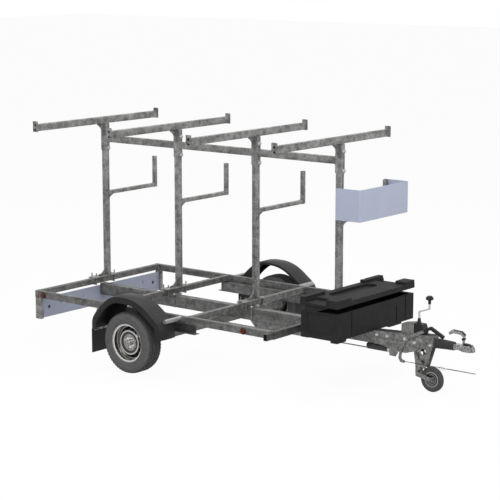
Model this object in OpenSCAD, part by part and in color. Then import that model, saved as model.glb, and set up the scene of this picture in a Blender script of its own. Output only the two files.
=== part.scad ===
// Scaffold transport trailer: single braked axle, four posts with cross bars, front box.
// Millimetres, +X to the coupling, +Y to the left side, +Z up, ground at Z = 0.

/* [Frame] */
// Width over the two side rails
frame_w = 1850; // [1600:10:2000]
// From the axle back to the rear end of the rails
rear_len = 1495; // [1400:5:1600]
// From the axle forward to the front end of the rails
front_len = 1460; // [1400:5:1500]
// Height of the rails' top above the ground
rail_top = 560; // [540:5:600]
// Height of the rectangular tube
tube_h = 70; // [60:2:80]
// Width of the rectangular tube
tube_w = 40; // [30:2:50]
// Corner radius of the tubes
tube_r = 6; // [3:1:8]
// Wall of the open tubes
tube_t = 4; // [3:0.5:5]
// Height of the cross members
cross_h = 60; // [50:2:66]
// Width of the cross members
cross_w = 50; // [40:2:60]
// Depth of the centre beam
beam_h = 120; // [100:5:130]
// Width of the centre beam and the drawbar
beam_w = 80; // [70:2:100]
// How far the open stubs stand out of the front cross member
stub_len = 96; // [60:2:120]

/* [Posts] */
// Sideways offset of the posts to the left
post_off = 104; // [60:2:140]
// Size of a post along the trailer
post_a = 70; // [60:2:80]
// Size of a post across the trailer
post_b = 40; // [30:2:50]
// Height of the top of the cross bars
bar_top = 2222; // [2000:5:2400]
// Length of a cross bar over its end plates
bar_len = 1796; // [1500:4:2000]
// Height of an end plate of a cross bar
end_plate_h = 105; // [90:1:120]
// Width of an end plate of a cross bar
end_plate_w = 62; // [50:2:80]
// Length of the sleeve at the head of a post
sleeve_len = 275; // [200:5:300]
// Top height of the side arms
arm_top = 1450; // [1300:10:1600]
// Height of the upright at the end of a side arm
arm_stub = 287; // [200:1:350]
// Reach of a side arm from the centre line
arm_reach = 885; // [800:5:950]
// Size of the side arms' square tube
arm_tube = 40; // [30:2:50]
// Length of the front stop plate's wings
stop_len = 270; // [200:5:300]
// Height of the front stop plate
stop_h = 300; // [250:5:350]

/* [Running gear] */
// Tyre diameter
tyre_d = 584; // [560:2:640]
// Tyre width
tyre_w = 185; // [165:5:205]
// Rim flange diameter
rim_d = 365; // [355:1:375]
// Gap between a side rail and the tyre beside it
wheel_gap = 112.5; // [100:0.5:130]
// Number of vent holes in a wheel disc
vents = 14; // [8:1:16]
// Size of the square axle tube
axle_tube = 80; // [70:2:90]
// Distance of the axle tube in front of the wheel centres
axle_off = 150; // [120:5:180]
// Mudguard width
guard_w = 220; // [200:5:240]
// Distance of a mudguard's rear wall behind the axle
guard_back = 432; // [415:1:460]
// Distance of a mudguard's front wall in front of the axle
guard_front = 415; // [390:1:440]
// Height of a mudguard's top above the ground
guard_top = 718; // [680:2:760]
// Height of a mudguard's lower edge above the ground
guard_low = 373; // [340:1:420]

/* [Rear] */
// Height of the light board
board_h = 200; // [160:5:240]
// Height of the light board's lower edge above the ground
board_low = 277; // [250:1:300]
// Depth of the rear lamps
lamp_t = 38; // [30:1:45]

/* [Front box] */
// Width of the box
box_w = 1248; // [1000:4:1400]
// Depth of the box along the trailer
box_d = 405; // [350:5:450]
// Height of the box up to its rim
box_h = 244; // [200:4:280]
// Gap between the front cross member and the box
box_gap = 70; // [50:2:90]
// Height of the set back neck under the lid
neck_h = 52; // [40:1:60]
// Thickness of the lid
lid_h = 46; // [36:1:50]

/* [Drawbar] */
// Distance of the coupling's tip from the axle
tip_len = 3022; // [3000:2:3100]
// Length of the coupling head
head_len = 197; // [180:1:220]
// Length of the bellows
bellows_len = 200; // [160:2:220]
// Height of the overrun shaft above the ground
coup_z = 455; // [440:1:480]
// Diameter of the coupling's ball socket
socket_d = 50.6; // [50.2:0.1:51]
// Jockey wheel diameter
jockey_d = 230; // [220:2:236]
// Jockey wheel width
jockey_w = 48; // [40:2:50]
// Diameter of the breakaway cable
cable_d = 6; // [4:0.5:8]

/* [Hidden] */
$fn = 48;
e = 0.01;
fit = 0.3;
pin_gap = 0.5;
swing_gap = 6;
sheet = tube_w / 8;
plate_t = tube_w / 4;
bolt_d = tube_w * 0.3;
rail_bot = rail_top - tube_h;
half_w = frame_w / 2;
beam_top = rail_top - cross_h;
beam_bot = beam_top - beam_h;
rear_end = rear_len + tube_w / 2;
axle_x = (rear_end - tip_len) / 2;
post_step = (front_len + rear_len) / 3;
post_x = [for (i = [0:3]) i * post_step - rear_len + cross_w / 2];
bar_bot = bar_top - tube_h;
top_beam_z = bar_bot - sleeve_len * 0.44;
bolt_x = cross_w / 2 + bolt_d / 2 + pin_gap;
foot_y = [post_off - 5 * post_b, post_off + 1.75 * post_b];
wheel_r = tyre_d / 2;
wheel_y = half_w + wheel_gap + tyre_w / 2;
axle_end = half_w + wheel_gap * 0.22;
axle_z = beam_bot - sheet - axle_tube / 2;
chan_y = half_w - tube_w - wheel_gap / 2;
chan_low = beam_bot + tube_w * 0.3;
drum_d = rim_d * 0.63;
hub_d = rim_d * 0.38;
cap_d = rim_d * 0.16;
stub_d = axle_tube / 2;
guard_t = 6;
rib_t = 5;
guard_r = 110;
guard_mid = -wheel_y + wheel_gap * 0.13;
guard_arch = [[-guard_back, guard_low], [-guard_back, guard_top - 245], [-guard_back * 0.8, guard_top - 133],
  [-guard_back * 0.43, guard_top], [guard_front * 0.31, guard_top], [guard_front, guard_top - 215],
  [guard_front, guard_low]];
stay_d = axle_tube * 0.52;
stay_z = rail_top - stay_d / 2;
board_x = rear_len - lamp_t;
board_t = lamp_t * 0.4;
box_x = front_len + cross_w + box_gap;
box_bot = rail_bot - tube_r;
lid_z = box_bot + box_h + neck_h;
hinge_x = box_x - 10;
hinge_z = lid_z + lid_h - 12;
house_x = box_x + box_d + sheet;
house_end = tip_len - head_len - bellows_len;
house_w = beam_w + 2 * sheet;
house_bot = beam_bot - sheet * 2.8;
house_low = house_bot - beam_w * 0.6;
draw_low = house_low;
draw_end = house_x + beam_h * 1.75;
leg_w = beam_w - 2 * swing_gap;
leg_x = house_end - beam_w;
leg_z = coup_z - jockey_d * 0.065;
strip_z = jockey_d;
strip_x = leg_x - 95;
hub_x = leg_x + jockey_d * 0.215;
lever_y = -house_w / 2 - 3;
lever_x = house_end - 286;
foot_x = lever_x - 11;
foot_z = jockey_d + 2 * plate_t;
cable_end = tip_len + beam_w * 0.6;
cable_y = lever_y - sheet;
galv = [0.56, 0.57, 0.57];
black = [0.07, 0.07, 0.07];
blue_grey = [0.62, 0.66, 0.75];
rubber = [0.1, 0.1, 0.1];
silver = [0.7, 0.7, 0.68];
amber = [0.8, 0.3, 0.05];
red = [0.6, 0.05, 0.05];

function unit(v) = v / norm(v);
function left_of(v) = [-v[1], v[0]];
function seg_n(p, i) = left_of(unit(p[i + 1] - p[i]));
function miter(a, b) = (a + b) / (1 + a * b);
function pt_n(p, i) = i == 0 ? seg_n(p, 0) : i == len(p) - 1 ? seg_n(p, i - 1)
  : miter(seg_n(p, i - 1), seg_n(p, i));
// Path moved sideways by d
function side_path(p, d) = [for (i = [0:len(p) - 1]) p[i] + d * pt_n(p, i)];
// Arc of radius r in the corner b of the path a, b, c
function arc_pts(a, b, c, r, n) = let (u = unit(a - b), v = unit(c - b), h = acos(u * v) / 2,
  m = b + unit(u + v) * r / sin(h), s = b + u * r / tan(h) - m, t = b + v * r / tan(h) - m,
  w = acos(min(1, s * t / (r * r))), q = s[0] * t[1] - s[1] * t[0] > 0 ? 1 : -1)
  [for (k = [0:n]) let (g = q * w * k / n)
    m + [s[0] * cos(g) - s[1] * sin(g), s[0] * sin(g) + s[1] * cos(g)]];
// Path with its inner corners rounded
function soft(p, r, n) = [for (i = [0:len(p) - 1])
  if (i == 0 || i == len(p) - 1) p[i] else each arc_pts(p[i - 1], p[i], p[i + 1], r, n)];
function flip(p) = [for (i = [len(p) - 1:-1:0]) p[i]];
// Outline of a sheet of thickness t folded along p
function band(p, r, t, n) = concat(soft(p, r, n), flip(soft(side_path(p, t), r + t, n)));
// Outline of a bar of width w along p
function strap(p, w, r, n) = concat(soft(side_path(p, w / 2), r, n), flip(soft(side_path(p, -w / 2), r, n)));
// Positions where a path crosses the height z
function at_height(p, z) = [for (i = [0:len(p) - 2]) if ((p[i][1] - z) * (p[i + 1][1] - z) < 0)
  p[i][0] + (p[i + 1][0] - p[i][0]) * (z - p[i][1]) / (p[i + 1][1] - p[i][1])];
// Height of the overrun housing's sloping top at x
function house_top(x) = box_bot + sheet + (x - house_x) / (house_end - house_x) * (coup_z + 69 - box_bot - sheet);

// Places a part whose X is counted from the axle
module placed() { translate([axle_x, 0, 0]) children(); }
// Both sides of the trailer from one right-hand part
module both() { children(); mirror([0, 1, 0]) children(); }
// Rectangle with round corners, centred
module rounded(a, b, r) {
  square([a - 2 * r, b], center = true);
  square([a, b - 2 * r], center = true);
  for (sx = [-1, 1], sy = [-1, 1]) translate([sx * (a / 2 - r), sy * (b / 2 - r)]) circle(r, $fn = 24);
}
// Triangle with a concave long side, l along X and h along Y
module cove(l, h) {
  polygon(concat([[0, 0], [l, 0]], soft([[l, l / 8], [l / 4, l / 4], [l / 8, h]], l / 2, 6), [[0, h]]));
}
// Plates in the XZ and YZ planes
module plate_xz(y0, y1) { translate([0, y1, 0]) rotate([90, 0, 0]) linear_extrude(y1 - y0) children(); }
module plate_yz(x0, x1) { translate([x0, 0, 0]) rotate([90, 0, 90]) linear_extrude(x1 - x0) children(); }
// Tubes along X, Y and Z
module tube_x(x0, x1, y, z, w, h) { plate_yz(x0, x1) translate([y, z]) rounded(w, h, tube_r); }
module tube_y(y0, y1, x, z, w, h) { plate_xz(y0, y1) translate([x, z]) rounded(w, h, tube_r); }
module tube_z(z0, z1, x, y, a, b) { translate([x, y, z0]) linear_extrude(z1 - z0) rounded(a, b, tube_r); }
// Round bars along X, Y and between two points
module rod_x(x0, x1, y, z, d) { translate([x0, y, z]) rotate([0, 90, 0]) cylinder(d = d, h = x1 - x0); }
module rod_y(y0, y1, x, z, d) { translate([x, y0, z]) rotate([-90, 0, 0]) cylinder(d = d, h = y1 - y0); }
module rod(a, b, d) {
  v = b - a;
  translate(a) rotate([0, acos(v[2] / norm(v)), atan2(v[1], v[0])]) cylinder(d = d, h = norm(v));
}
// Axis of a wheel: local Z points outward
module at_wheel(side) { placed() translate([0, side * wheel_y, wheel_r]) rotate([-90 * side, 0, 0]) children(); }

module side_rails() {
  color(galv) placed() both()
    tube_x(-rear_len, front_len, -half_w + tube_w / 2, rail_top - tube_h / 2, tube_w, tube_h);
}

module cross_members() {
  y = half_w - tube_w;
  color(galv) placed() for (i = [0:2]) tube_y(-y, y, post_x[i], rail_top - cross_h / 2, cross_w, cross_h);
}

// Open front tube with a smaller open stub at each end
module front_cross() {
  x = front_len + cross_w / 2;
  z = rail_top - tube_h / 2;
  y = half_w + stub_len;
  color(galv) placed() difference() {
    union() {
      tube_y(-half_w, half_w, x, z, cross_w, tube_h);
      tube_y(-y, y, x, z, cross_w - 2 * tube_t, tube_h - 2 * tube_t);
    }
    tube_y(-y - 1, y + 1, x, z, cross_w - 4 * tube_t, tube_h - 4 * tube_t);
  }
}

module centre_beam() {
  color(galv) placed() tube_x(-board_x + board_t, front_len, 0, beam_top - beam_h / 2, beam_w, beam_h);
}

// Raked lower member that carries the box and the overrun housing
module drawbar() {
  x0 = front_len * 0.373;
  k = beam_bot - draw_low;
  color(galv) placed() plate_xz(-beam_w / 2, beam_w / 2) polygon([[x0, beam_bot], [x0 + k, draw_low],
    [front_len + 2 * cross_w, draw_low], [front_len + 2 * cross_w + 1.6 * k, house_bot], [draw_end, house_bot],
    [draw_end, box_bot], [front_len, box_bot], [front_len, beam_bot]]);
}

// Folded channels under the rails
module axle_rails() {
  l = tyre_d * 0.9;
  y1 = -half_w + tube_w * 0.6;
  color(galv) placed() both() {
    plate_yz(-l, l) polygon([[y1, rail_bot], [y1, rail_bot - sheet], [-chan_y - sheet, rail_bot - sheet],
      [-chan_y - sheet, chan_low], [-chan_y, chan_low], [-chan_y, rail_bot]]);
    translate([-l - tube_w, y1, chan_low]) cube([2 * l + 2 * tube_w, -chan_y - y1, sheet]);
  }
}

module axle_beam() {
  top = axle_z + axle_tube / 2;
  color(galv) placed() {
    tube_y(-axle_end, axle_end, axle_off, axle_z, axle_tube, axle_tube);
    both() translate([axle_off - axle_tube * 0.75, -half_w + tube_w, top - sheet])
      cube([axle_tube * 1.5, half_w - tube_w - chan_y, chan_low - top + sheet]);
  }
}

// Trailing arms with brake plates and stub axles
module swing_arms() {
  n = left_of(unit([axle_off, axle_z - wheel_r])) * axle_tube * 0.58;
  a = [0, wheel_r];
  b = [axle_off, axle_z];
  y = axle_end + tube_w;
  color(galv) placed() both() {
    plate_xz(-y, -axle_end) {
      translate(a) circle(norm(n));
      translate(b) circle(norm(n));
      polygon([a + n, a - n, b - n, b + n]);
    }
    rod_y(-y - plate_t, -y, 0, wheel_r, drum_d * 0.95);
    rod_y(-wheel_y + stub_d, -y, 0, wheel_r, stub_d);
  }
}

// Posts on base plates, each with a gusset on the right
module posts() {
  z = rail_top + plate_t;
  y = post_off - post_b / 2;
  w = cross_w / 2 + tube_w / 2;
  color(galv) placed() for (x = post_x) {
    tube_z(z - e, bar_bot - plate_t, x, post_off, post_a, post_b);
    plate_yz(x - sheet, x + sheet) translate([y, z]) mirror([1, 0]) cove(post_a * 1.55, post_a * 1.25);
    difference() {
      translate([x - w, foot_y[0] - tube_w, rail_top])
        cube([2 * w, foot_y[1] - foot_y[0] + 2 * tube_w * 0.9, plate_t]);
      for (k = [-1, 1], v = foot_y) translate([x + k * bolt_x, v, rail_top - 1])
        cylinder(d = bolt_d + 2 * pin_gap, h = plate_t + 2);
    }
  }
}

// Clamping bolts of the posts' feet and hook bolts beside the centre beam
module foot_bolts() {
  top = rail_top + plate_t + tube_w;
  hook_x = cross_w / 2 + tube_w;
  hook_y = beam_w / 2 + bolt_d / 2 + pin_gap;
  color(galv) placed() {
    for (i = [0:3], v = foot_y) let (z = i == 3 ? rail_bot : beam_top, b = z - bolt_d / 2 - pin_gap) {
      for (k = [-1, 1]) rod([post_x[i] + k * bolt_x, v, b], [post_x[i] + k * bolt_x, v, top], bolt_d);
      for (k = [-1, 1]) translate([post_x[i] + k * bolt_x, v, b]) sphere(d = bolt_d * 1.15);
      rod_x(post_x[i] - bolt_x, post_x[i] + bolt_x, v, b, bolt_d);
    }
    for (i = [1, 2]) {
      for (k = [-1, 1])
        rod([post_x[i] + hook_x, k * hook_y, beam_bot], [post_x[i] + hook_x, k * hook_y, beam_top + tube_w / 2], bolt_d);
      translate([post_x[i] + cross_w / 2, -hook_y - bolt_d, beam_top])
        cube([tube_w + bolt_d, 2 * (hook_y + bolt_d), sheet * 2]);
    }
  }
}

// Sleeves at the posts' heads, each with a gusset under the cross bar
module head_sleeves() {
  y = post_off - post_b / 2 - sheet;
  color(galv) placed() for (x = post_x) {
    difference() {
      tube_z(bar_bot - sleeve_len, bar_bot, x, post_off, post_a + 2 * sheet, post_b + 2 * sheet);
      tube_z(bar_bot - sleeve_len - 1, bar_bot - plate_t, x, post_off, post_a + 2 * fit, post_b + 2 * fit);
    }
    plate_yz(x - sheet, x + sheet) translate([y, bar_bot]) mirror([1, 0]) mirror([0, 1])
      cove(post_a * 1.3, post_a * 1.85);
  }
}

module cross_bars() {
  l = bar_len / 2 - 2 * tube_t;
  z = bar_top - tube_h / 2;
  color(galv) placed() for (x = post_x) difference() {
    tube_y(-l, l, x, z, tube_w, tube_h);
    tube_y(-l - 1, l + 1, x, z, tube_w - 2 * tube_t, tube_h - 2 * tube_t);
  }
}

// Plates on the bars' ends, each with two round holes
module end_plates() {
  t = 2 * tube_t;
  z = bar_top - tube_h / 2 + end_plate_h * 0.11;
  color(galv) placed() for (x = post_x, s = [-1, 1])
    plate_xz(s * (bar_len - t) / 2 - t / 2, s * (bar_len - t) / 2 + t / 2) difference() {
      translate([x, z]) rounded(end_plate_w, end_plate_h, tube_t);
      for (v = [-1, 1]) translate([x, z + (v * 0.23 - 0.1) * end_plate_h]) circle(d = end_plate_w * 0.42);
    }
}

module top_beam() {
  a = post_a / 2 + sheet;
  color(galv) placed() for (i = [0:2])
    tube_x(post_x[i] + a, post_x[i + 1] - a, post_off, top_beam_z - tube_h / 2, tube_w, tube_h);
}

module side_arms() {
  y = post_off + post_b / 2;
  color(galv) placed() for (x = post_x) {
    tube_y(y, arm_reach - arm_tube, x, arm_top - arm_tube / 2, arm_tube, arm_tube);
    plate_yz(x - sheet, x + sheet) translate([y, arm_top - arm_tube]) mirror([0, 1])
      cove(arm_tube * 1.9, arm_tube * 2.1);
  }
}

module arm_uprights() {
  y = arm_reach - arm_tube / 2;
  a = arm_tube - 2 * tube_t;
  color(galv) placed() for (x = post_x) difference() {
    tube_z(arm_top - arm_tube, arm_top + arm_stub, x, y, arm_tube, arm_tube);
    tube_z(arm_top, arm_top + arm_stub + 1, x, y, a, a);
  }
}

// Folded plate around the front post and the front upright
module front_stop() {
  x0 = post_x[3] - post_a * 0.4;
  y0 = post_off - post_b / 2;
  p = [[x0, arm_reach], [x0 + stop_len, arm_reach], [x0 + stop_len, y0], [x0, y0]];
  color(blue_grey) placed() translate([0, 0, arm_top - arm_tube / 4]) linear_extrude(stop_h)
    polygon(band(p, tube_t, tube_t, 4));
}

module light_board() {
  y = half_w - tube_w;
  z = board_low + board_h / 2;
  color(blue_grey) placed() plate_yz(-board_x, -board_x + board_t) difference() {
    translate([-y, board_low]) square([2 * y, board_h]);
    for (s = [-1, 1]) translate([s * y * 0.887, z]) circle(d = board_h * 0.17);
    for (s = [-0.705, -0.33, 0.33, 0.705]) translate([s * y, z + board_h * 0.14])
      rounded(board_h * 0.05, board_h * 0.2, board_h * 0.024);
  }
}

// Open box legs that carry the light board
module board_legs() {
  a = tube_w * 1.9;
  z = board_low - sheet / 2;
  x = -rear_len + a / 2;
  y = -half_w + tube_w / 2;
  color(galv) placed() both() difference() {
    tube_z(z, rail_bot, x, y, a, tube_w);
    tube_z(z - 1, rail_bot - plate_t, x, y, a - 2 * tube_t, tube_w - 2 * tube_t);
  }
}

// Lamp clusters and triangular reflectors behind the light board
module rear_lamps() {
  z = board_low + board_h / 2;
  y = half_w - tube_w;
  color(red) placed() both() {
    plate_yz(-rear_len, -board_x) translate([-y * 0.76, z]) rounded(board_h, board_h * 0.55, board_h * 0.06);
    plate_yz(-board_x - lamp_t / 2, -board_x) translate([-y * 0.5, z]) circle(r = board_h * 0.38, $fn = 3);
  }
}

// Round side lamps: a flat base with a domed lens
module marker_lamps() {
  d = tube_h * 0.83;
  z = rail_top - tube_h * 0.56;
  color(amber) placed() both() for (x = [-rear_len + tube_w * 2.85, front_len - tube_w * 7.5])
    translate([x, -half_w, z]) rotate([90, 0, 0]) rotate_extrude()
      polygon(concat([[0, 0]], soft([[d / 2, 0], [d / 2, d / 8], [d * 0.44, d / 7], [d * 0.4, d * 0.3], [0, d * 0.33]],
        d / 40, 2)));
}

// Arched guards with a raised middle and a skirt along the outer edge
module mudguards() {
  q = side_path(guard_arch, guard_t - 1);
  w = guard_w / 2;
  lip = guard_w * 0.28;
  color(black) placed() both() {
    plate_xz(guard_mid - w, guard_mid + w) polygon(band(guard_arch, guard_r, guard_t, 8));
    plate_xz(guard_mid - w * 0.6, guard_mid + w * 0.6) polygon(band(q, guard_r + guard_t - 1, rib_t + 1, 8));
    plate_xz(guard_mid - w, guard_mid - w + guard_t)
      polygon(band(side_path(guard_arch, -lip), guard_r - lip, lip + 1, 8));
  }
}

module mud_flaps() {
  z = guard_low * 0.375;
  color(black) placed() both() translate([-guard_back - guard_t, guard_mid - guard_w / 2, z])
    cube([guard_t, guard_w, guard_low - z]);
}

// Clamping strips at the top of the flaps
module flap_strips() {
  color(galv) placed() both() translate([-guard_back, guard_mid - guard_w * 0.41, guard_low - guard_w * 0.1])
    cube([guard_t, guard_w * 0.9, guard_w * 0.1]);
}

// Round stays from the rails that the guards lean on
module guard_stays() {
  k = guard_t + rib_t + stay_d / 2;
  y = guard_mid - guard_w * 0.17;
  color(galv) placed() both() for (x = at_height(soft(side_path(guard_arch, k), guard_r + k, 8), stay_z))
    rod_y(y, -half_w, x, stay_z, stay_d);
}

// Moulded box with grooved front, panelled ends, feet and raked shoulders that carry the lid
module box_tub() {
  y = box_w / 2;
  t = 8;
  c = 44;
  w = 24;
  g = 14;
  foot = 76;
  rim = box_bot + box_h;
  x1 = box_x + box_d;
  x2 = box_x + c + 2 * t;
  xm = box_x + box_d / 2;
  color(black) placed() difference() {
    union() {
      translate([xm, 0, box_bot]) linear_extrude(box_h) rounded(box_d, box_w, t);
      for (s = [-1, 1]) translate([box_x + c, s * (y - c), box_bot - 6]) linear_extrude(6 + t)
        rounded(2 * c - 4, 2 * c - 4, t);
      for (f = [[-y + 2, -y * 0.76, 20], [y * 0.35, y * 0.68, 16]])
        translate([x1 - foot / 2 - 2, (f[0] + f[1]) / 2, box_bot - f[2]]) linear_extrude(f[2] + t)
          rounded(foot, f[1] - f[0], t);
      translate([box_x + c, -y + c / 2, rim - t]) cube([2 * t, box_w - c, neck_h + t - fit]);
      for (s = [-1, 1]) plate_xz(s * (y - c / 2) - c / 2, s * (y - c / 2) + c / 2)
        polygon([[box_x + c, rim - t], [box_x + c, lid_z - fit], [x1 - 2 * c, lid_z - fit], [box_x + 4 * c, rim],
          [box_x + 4 * c, rim - t]]);
    }
    translate([xm, 0, box_bot + t]) linear_extrude(box_h - 2 * t) rounded(box_d - 2 * w, box_w - 2 * c, t);
    translate([(x2 + x1 - w) / 2, 0, rim - t - 1]) linear_extrude(t + 2) rounded(x1 - w - x2, box_w - 2 * c, t);
    for (f = [-0.64, 0.766]) translate([x1 - g, f * y - g / 2, box_bot - 1]) cube([2 * g, g, box_h + 2]);
    translate([x1 - g, y * 0.526 - g / 2, box_bot + 12]) cube([2 * g, g, box_h * 0.64]);
    for (s = [-1, 1]) plate_xz(s * y - 5, s * y + 5) translate([xm + 10, box_bot + box_h / 2 + 18])
      rounded(box_d - 130, box_h - 64, t);
  }
  color(black) placed() for (s = [-1, 1]) {
    translate([hinge_x - 2, s * y * 0.6 - 20, box_bot + box_h * 0.6]) cube([box_x - hinge_x + 4, 40, box_h * 0.4]);
    translate([hinge_x - 2, s * y * 0.6 - 20, box_bot + box_h - 4]) cube([4, 40, hinge_z - box_bot - box_h + 4]);
    rod_y(s * y * 0.6 - 20, s * y * 0.6 + 20, hinge_x, hinge_z, 16);
    rod_y(s * y * 0.6 - 58, s * y * 0.6 + 58, hinge_x, hinge_z, 8);
  }
}

// Moulded lid with raised corner pads, a long trough, dipped ends and hinge knuckles
module box_lid() {
  y = box_w / 2 + 10;
  d = box_d + 10;
  x = box_x - 5;
  k = 62;
  h = 26;
  j = (y - 10) * 0.6;
  top = lid_z + lid_h;
  color(black) placed() difference() {
    union() {
      translate([x + d / 2, 0, lid_z]) linear_extrude(lid_h) rounded(d, 2 * y, 12);
      for (s = [-1, 1]) {
        translate([x + k / 2, s * (y * 0.75 - 2), top - 10]) linear_extrude(h + 10) rounded(k - 4, y * 0.5, 10);
        for (v = [-40, 40]) {
          translate([hinge_x, s * j + v - 17, hinge_z - 6]) cube([20, 34, 12]);
          rod_y(s * j + v - 17, s * j + v + 17, hinge_x, hinge_z, 16);
        }
      }
      for (f = [[-y + 2, -y * 0.63], [y * 0.75, y - 2]]) translate([x + d - k, (f[0] + f[1]) / 2, top - 10])
        linear_extrude(h + 10) rounded(2 * k - 4, f[1] - f[0], 10);
    }
    for (s = [-1, 1]) {
      translate([x - 1, s * j - 22, lid_z - 1]) cube([12, 44, lid_h + h + 2]);
      rod_y(s * j - 70, s * j + 70, hinge_x, hinge_z, 8 + 2 * pin_gap);
      translate([x + (d - k) / 2, s * y, lid_z + lid_h * 0.45]) linear_extrude(lid_h) rounded(d - 3 * k, 320, 40);
    }
    translate([x + k + 85, 0, lid_z + lid_h * 0.4]) linear_extrude(lid_h) rounded(150, y * 1.04, 70);
    translate([box_x + box_d / 2, 0, lid_z - 1]) linear_extrude(13) rounded(box_d - 2 * k, 2 * y - 3 * k, 12);
  }
}

// Open-bottomed housing of the overrun brake
module overrun_housing() {
  t = sheet;
  color(galv) placed() difference() {
    plate_xz(-house_w / 2, house_w / 2) polygon([[house_x, house_bot], [house_x, house_top(house_x)],
      [house_end, house_top(house_end)], [house_end, coup_z - 28], [house_end - 138, coup_z - 57],
      [house_end - 200, house_low + 36], [house_end - 290, house_low + 9], [house_end - 360, house_low + 9],
      [house_x + 60, house_bot]]);
    plate_xz(-beam_w / 2, beam_w / 2) polygon([[house_x - 1, house_low - 1], [house_x - 1, house_top(house_x - 1) - t],
      [house_end - t, house_top(house_end - t) - t], [house_end - t, house_low - 1]]);
    rod_y(-house_w, house_w, leg_x, leg_z, 20 + 2 * pin_gap);
  }
}

// Ribbed rubber bellows
module bellows() {
  n = 8;
  k = bellows_len / n;
  color(black) placed() translate([house_end, 0, coup_z]) rotate([0, 90, 0]) rotate_extrude()
    polygon(concat([[0, 0]], [for (i = [0:n - 1]) let (r = 47 - i) each [[r - 9, i * k], [r, i * k + k * 0.3],
      [r, i * k + k * 0.6], [r - 10, i * k + k * 0.9]]], [[30, bellows_len], [0, bellows_len]]));
}

// Pressed head: its side view and its plan cut one another
module coupling_head() {
  x0 = house_end + bellows_len;
  x1 = tip_len;
  low = coup_z - 30;
  ball = [x1 - 58, 0, low + 30];
  color(galv) placed() difference() {
    intersection() {
      plate_xz(-60, 60) polygon(concat([[x0, coup_z - 25], [x0, coup_z + 23]], soft([[x0 + 30, coup_z + 23],
        [x0 + 60, coup_z + 28], [x1 - 45, coup_z + 28], [x1 - 4, coup_z - 6], [x1, low + 12], [x1, low]], 8, 4),
        soft([[x1 - 14, low], [x0 + 90, low], [x0 + 60, coup_z - 25]], 8, 3)));
      linear_extrude(2 * coup_z) polygon(concat(soft([[x0, -30], [x0 + 60, -30], [x0 + 100, -41], [x1 - 34, -41],
        [x1, -18], [x1, 0]], 14, 4), flip(soft([[x0, 30], [x0 + 60, 30], [x0 + 100, 41], [x1 - 34, 41],
        [x1, 18], [x1, 0]], 14, 4))));
    }
    translate(ball) sphere(d = socket_d - 8);
    translate([ball[0], 0, low - 10]) cylinder(d = socket_d, h = 40);
  }
}

module coupling_handle() {
  x = tip_len - 142;
  color(galv) placed() plate_xz(-14, 14)
    polygon(band([[x + 36, coup_z + 28], [x + 36, coup_z + 75], [x + 45, coup_z + 112], [x + 10, coup_z + 138],
      [x - 80, coup_z + 143], [x - 116, coup_z + 117]], 10, 10, 4));
}

// Bell crank of the handbrake on the housing's right side
module brake_lever() {
  a = [lever_x, leg_z + 24];
  color(galv) placed() {
    plate_xz(lever_y - 10, lever_y) {
      translate(a) circle(d = 56);
      polygon(strap([a, a + [196, 94]], 30, 10, 2));
      polygon(strap([a, a + [-48, -107], [foot_x - 50, foot_z + 28], [foot_x - 34, foot_z], [foot_x, foot_z]], 26, 14, 4));
    }
    plate_xz(-house_w / 2 - 6, -house_w / 2) polygon(concat([[house_end - 468, house_bot]],
      soft([[house_end - 372, house_bot], [house_end - 372, house_low], [house_end - 396, house_low - 39],
        [house_end - 462, house_low - 36], [house_end - 468, house_bot - 20]], 8, 3)));
    rod_y(lever_y - 16, -house_w / 2, lever_x, leg_z + 24, 28);
  }
}

module lever_grip() {
  a = [lever_x + 196, leg_z + 118];
  color(black) placed() plate_xz(lever_y - 18, lever_y + 8) difference() {
    polygon(strap([a - [11, 5.3], a + [67, 39], a + [202, -30]], 28, 24, 5));
    polygon(strap([a - [30, 14.4], a], 30 + 2 * fit, 10, 2));
  }
}

// Gas spring under the drawbar with its end bracket
module spring_cylinder() {
  d = beam_w * 0.86;
  x = house_x + beam_w * 2;
  z = house_bot - d / 2 - pin_gap;
  color(black) placed() {
    rod_x(x - beam_w * 3.1, x, 0, z, d);
    rod_x(x - beam_w * 3.2, x + 14, 0, z, d * 0.5);
    translate([x - 1, -beam_w * 0.35, z - d / 2]) cube([plate_t, beam_w * 0.7, house_bot - z + d / 2]);
  }
}

// Brake rod from the axle to the gas spring
module brake_rod() {
  x = house_x - beam_w * 1.1;
  color(galv) placed() rod_x(axle_off + axle_tube / 2, x, 0, draw_low - bolt_d, bolt_d);
}

module spindle_box() {
  x0 = house_end - 342;
  x1 = house_end - 210;
  z = coup_z + 142;
  color(galv) placed() plate_xz(-beam_w / 2 - 2, beam_w / 2 + 2)
    polygon([[x0, house_top(x0)], each soft([[x0, z - 40], [x0, z], [x1, z + 22], [x1, z - 40]], 8, 4), [x1, house_top(x1)]]);
}

module spindle_block() {
  x0 = house_end - 210;
  x1 = house_end - 105;
  z = coup_z + 155;
  color(black) placed() plate_xz(-beam_w / 2, beam_w / 2)
    polygon([[x0, house_top(x0)], [x0, z], each soft([[x0 + 9, z], [x1 - 20, z], [x1, z - 60], [x1, z - 80]], 14, 4),
      [x1, house_top(x1)]]);
}

// Crank of the jockey spindle
module crank() {
  x = house_end - 180;
  z = coup_z + 155;
  color(galv) placed() {
    plate_xz(-7, 7) polygon(strap([[x, z], [x, z + 107], [x + 105, z + 145], [x + 105, z + 190]], 14, 12, 4));
    translate([x, 0, z]) cylinder(d1 = 38, d2 = 22, h = 46);
  }
}

module crank_knob() {
  color(black) placed() translate([house_end - 75, 0, coup_z + 345]) rotate_extrude()
    polygon(concat([[0, 0]], soft([[13, 0], [14, 34], [33, 40], [35, 58], [20, 74], [0, 78]], 4, 4)));
}

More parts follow.
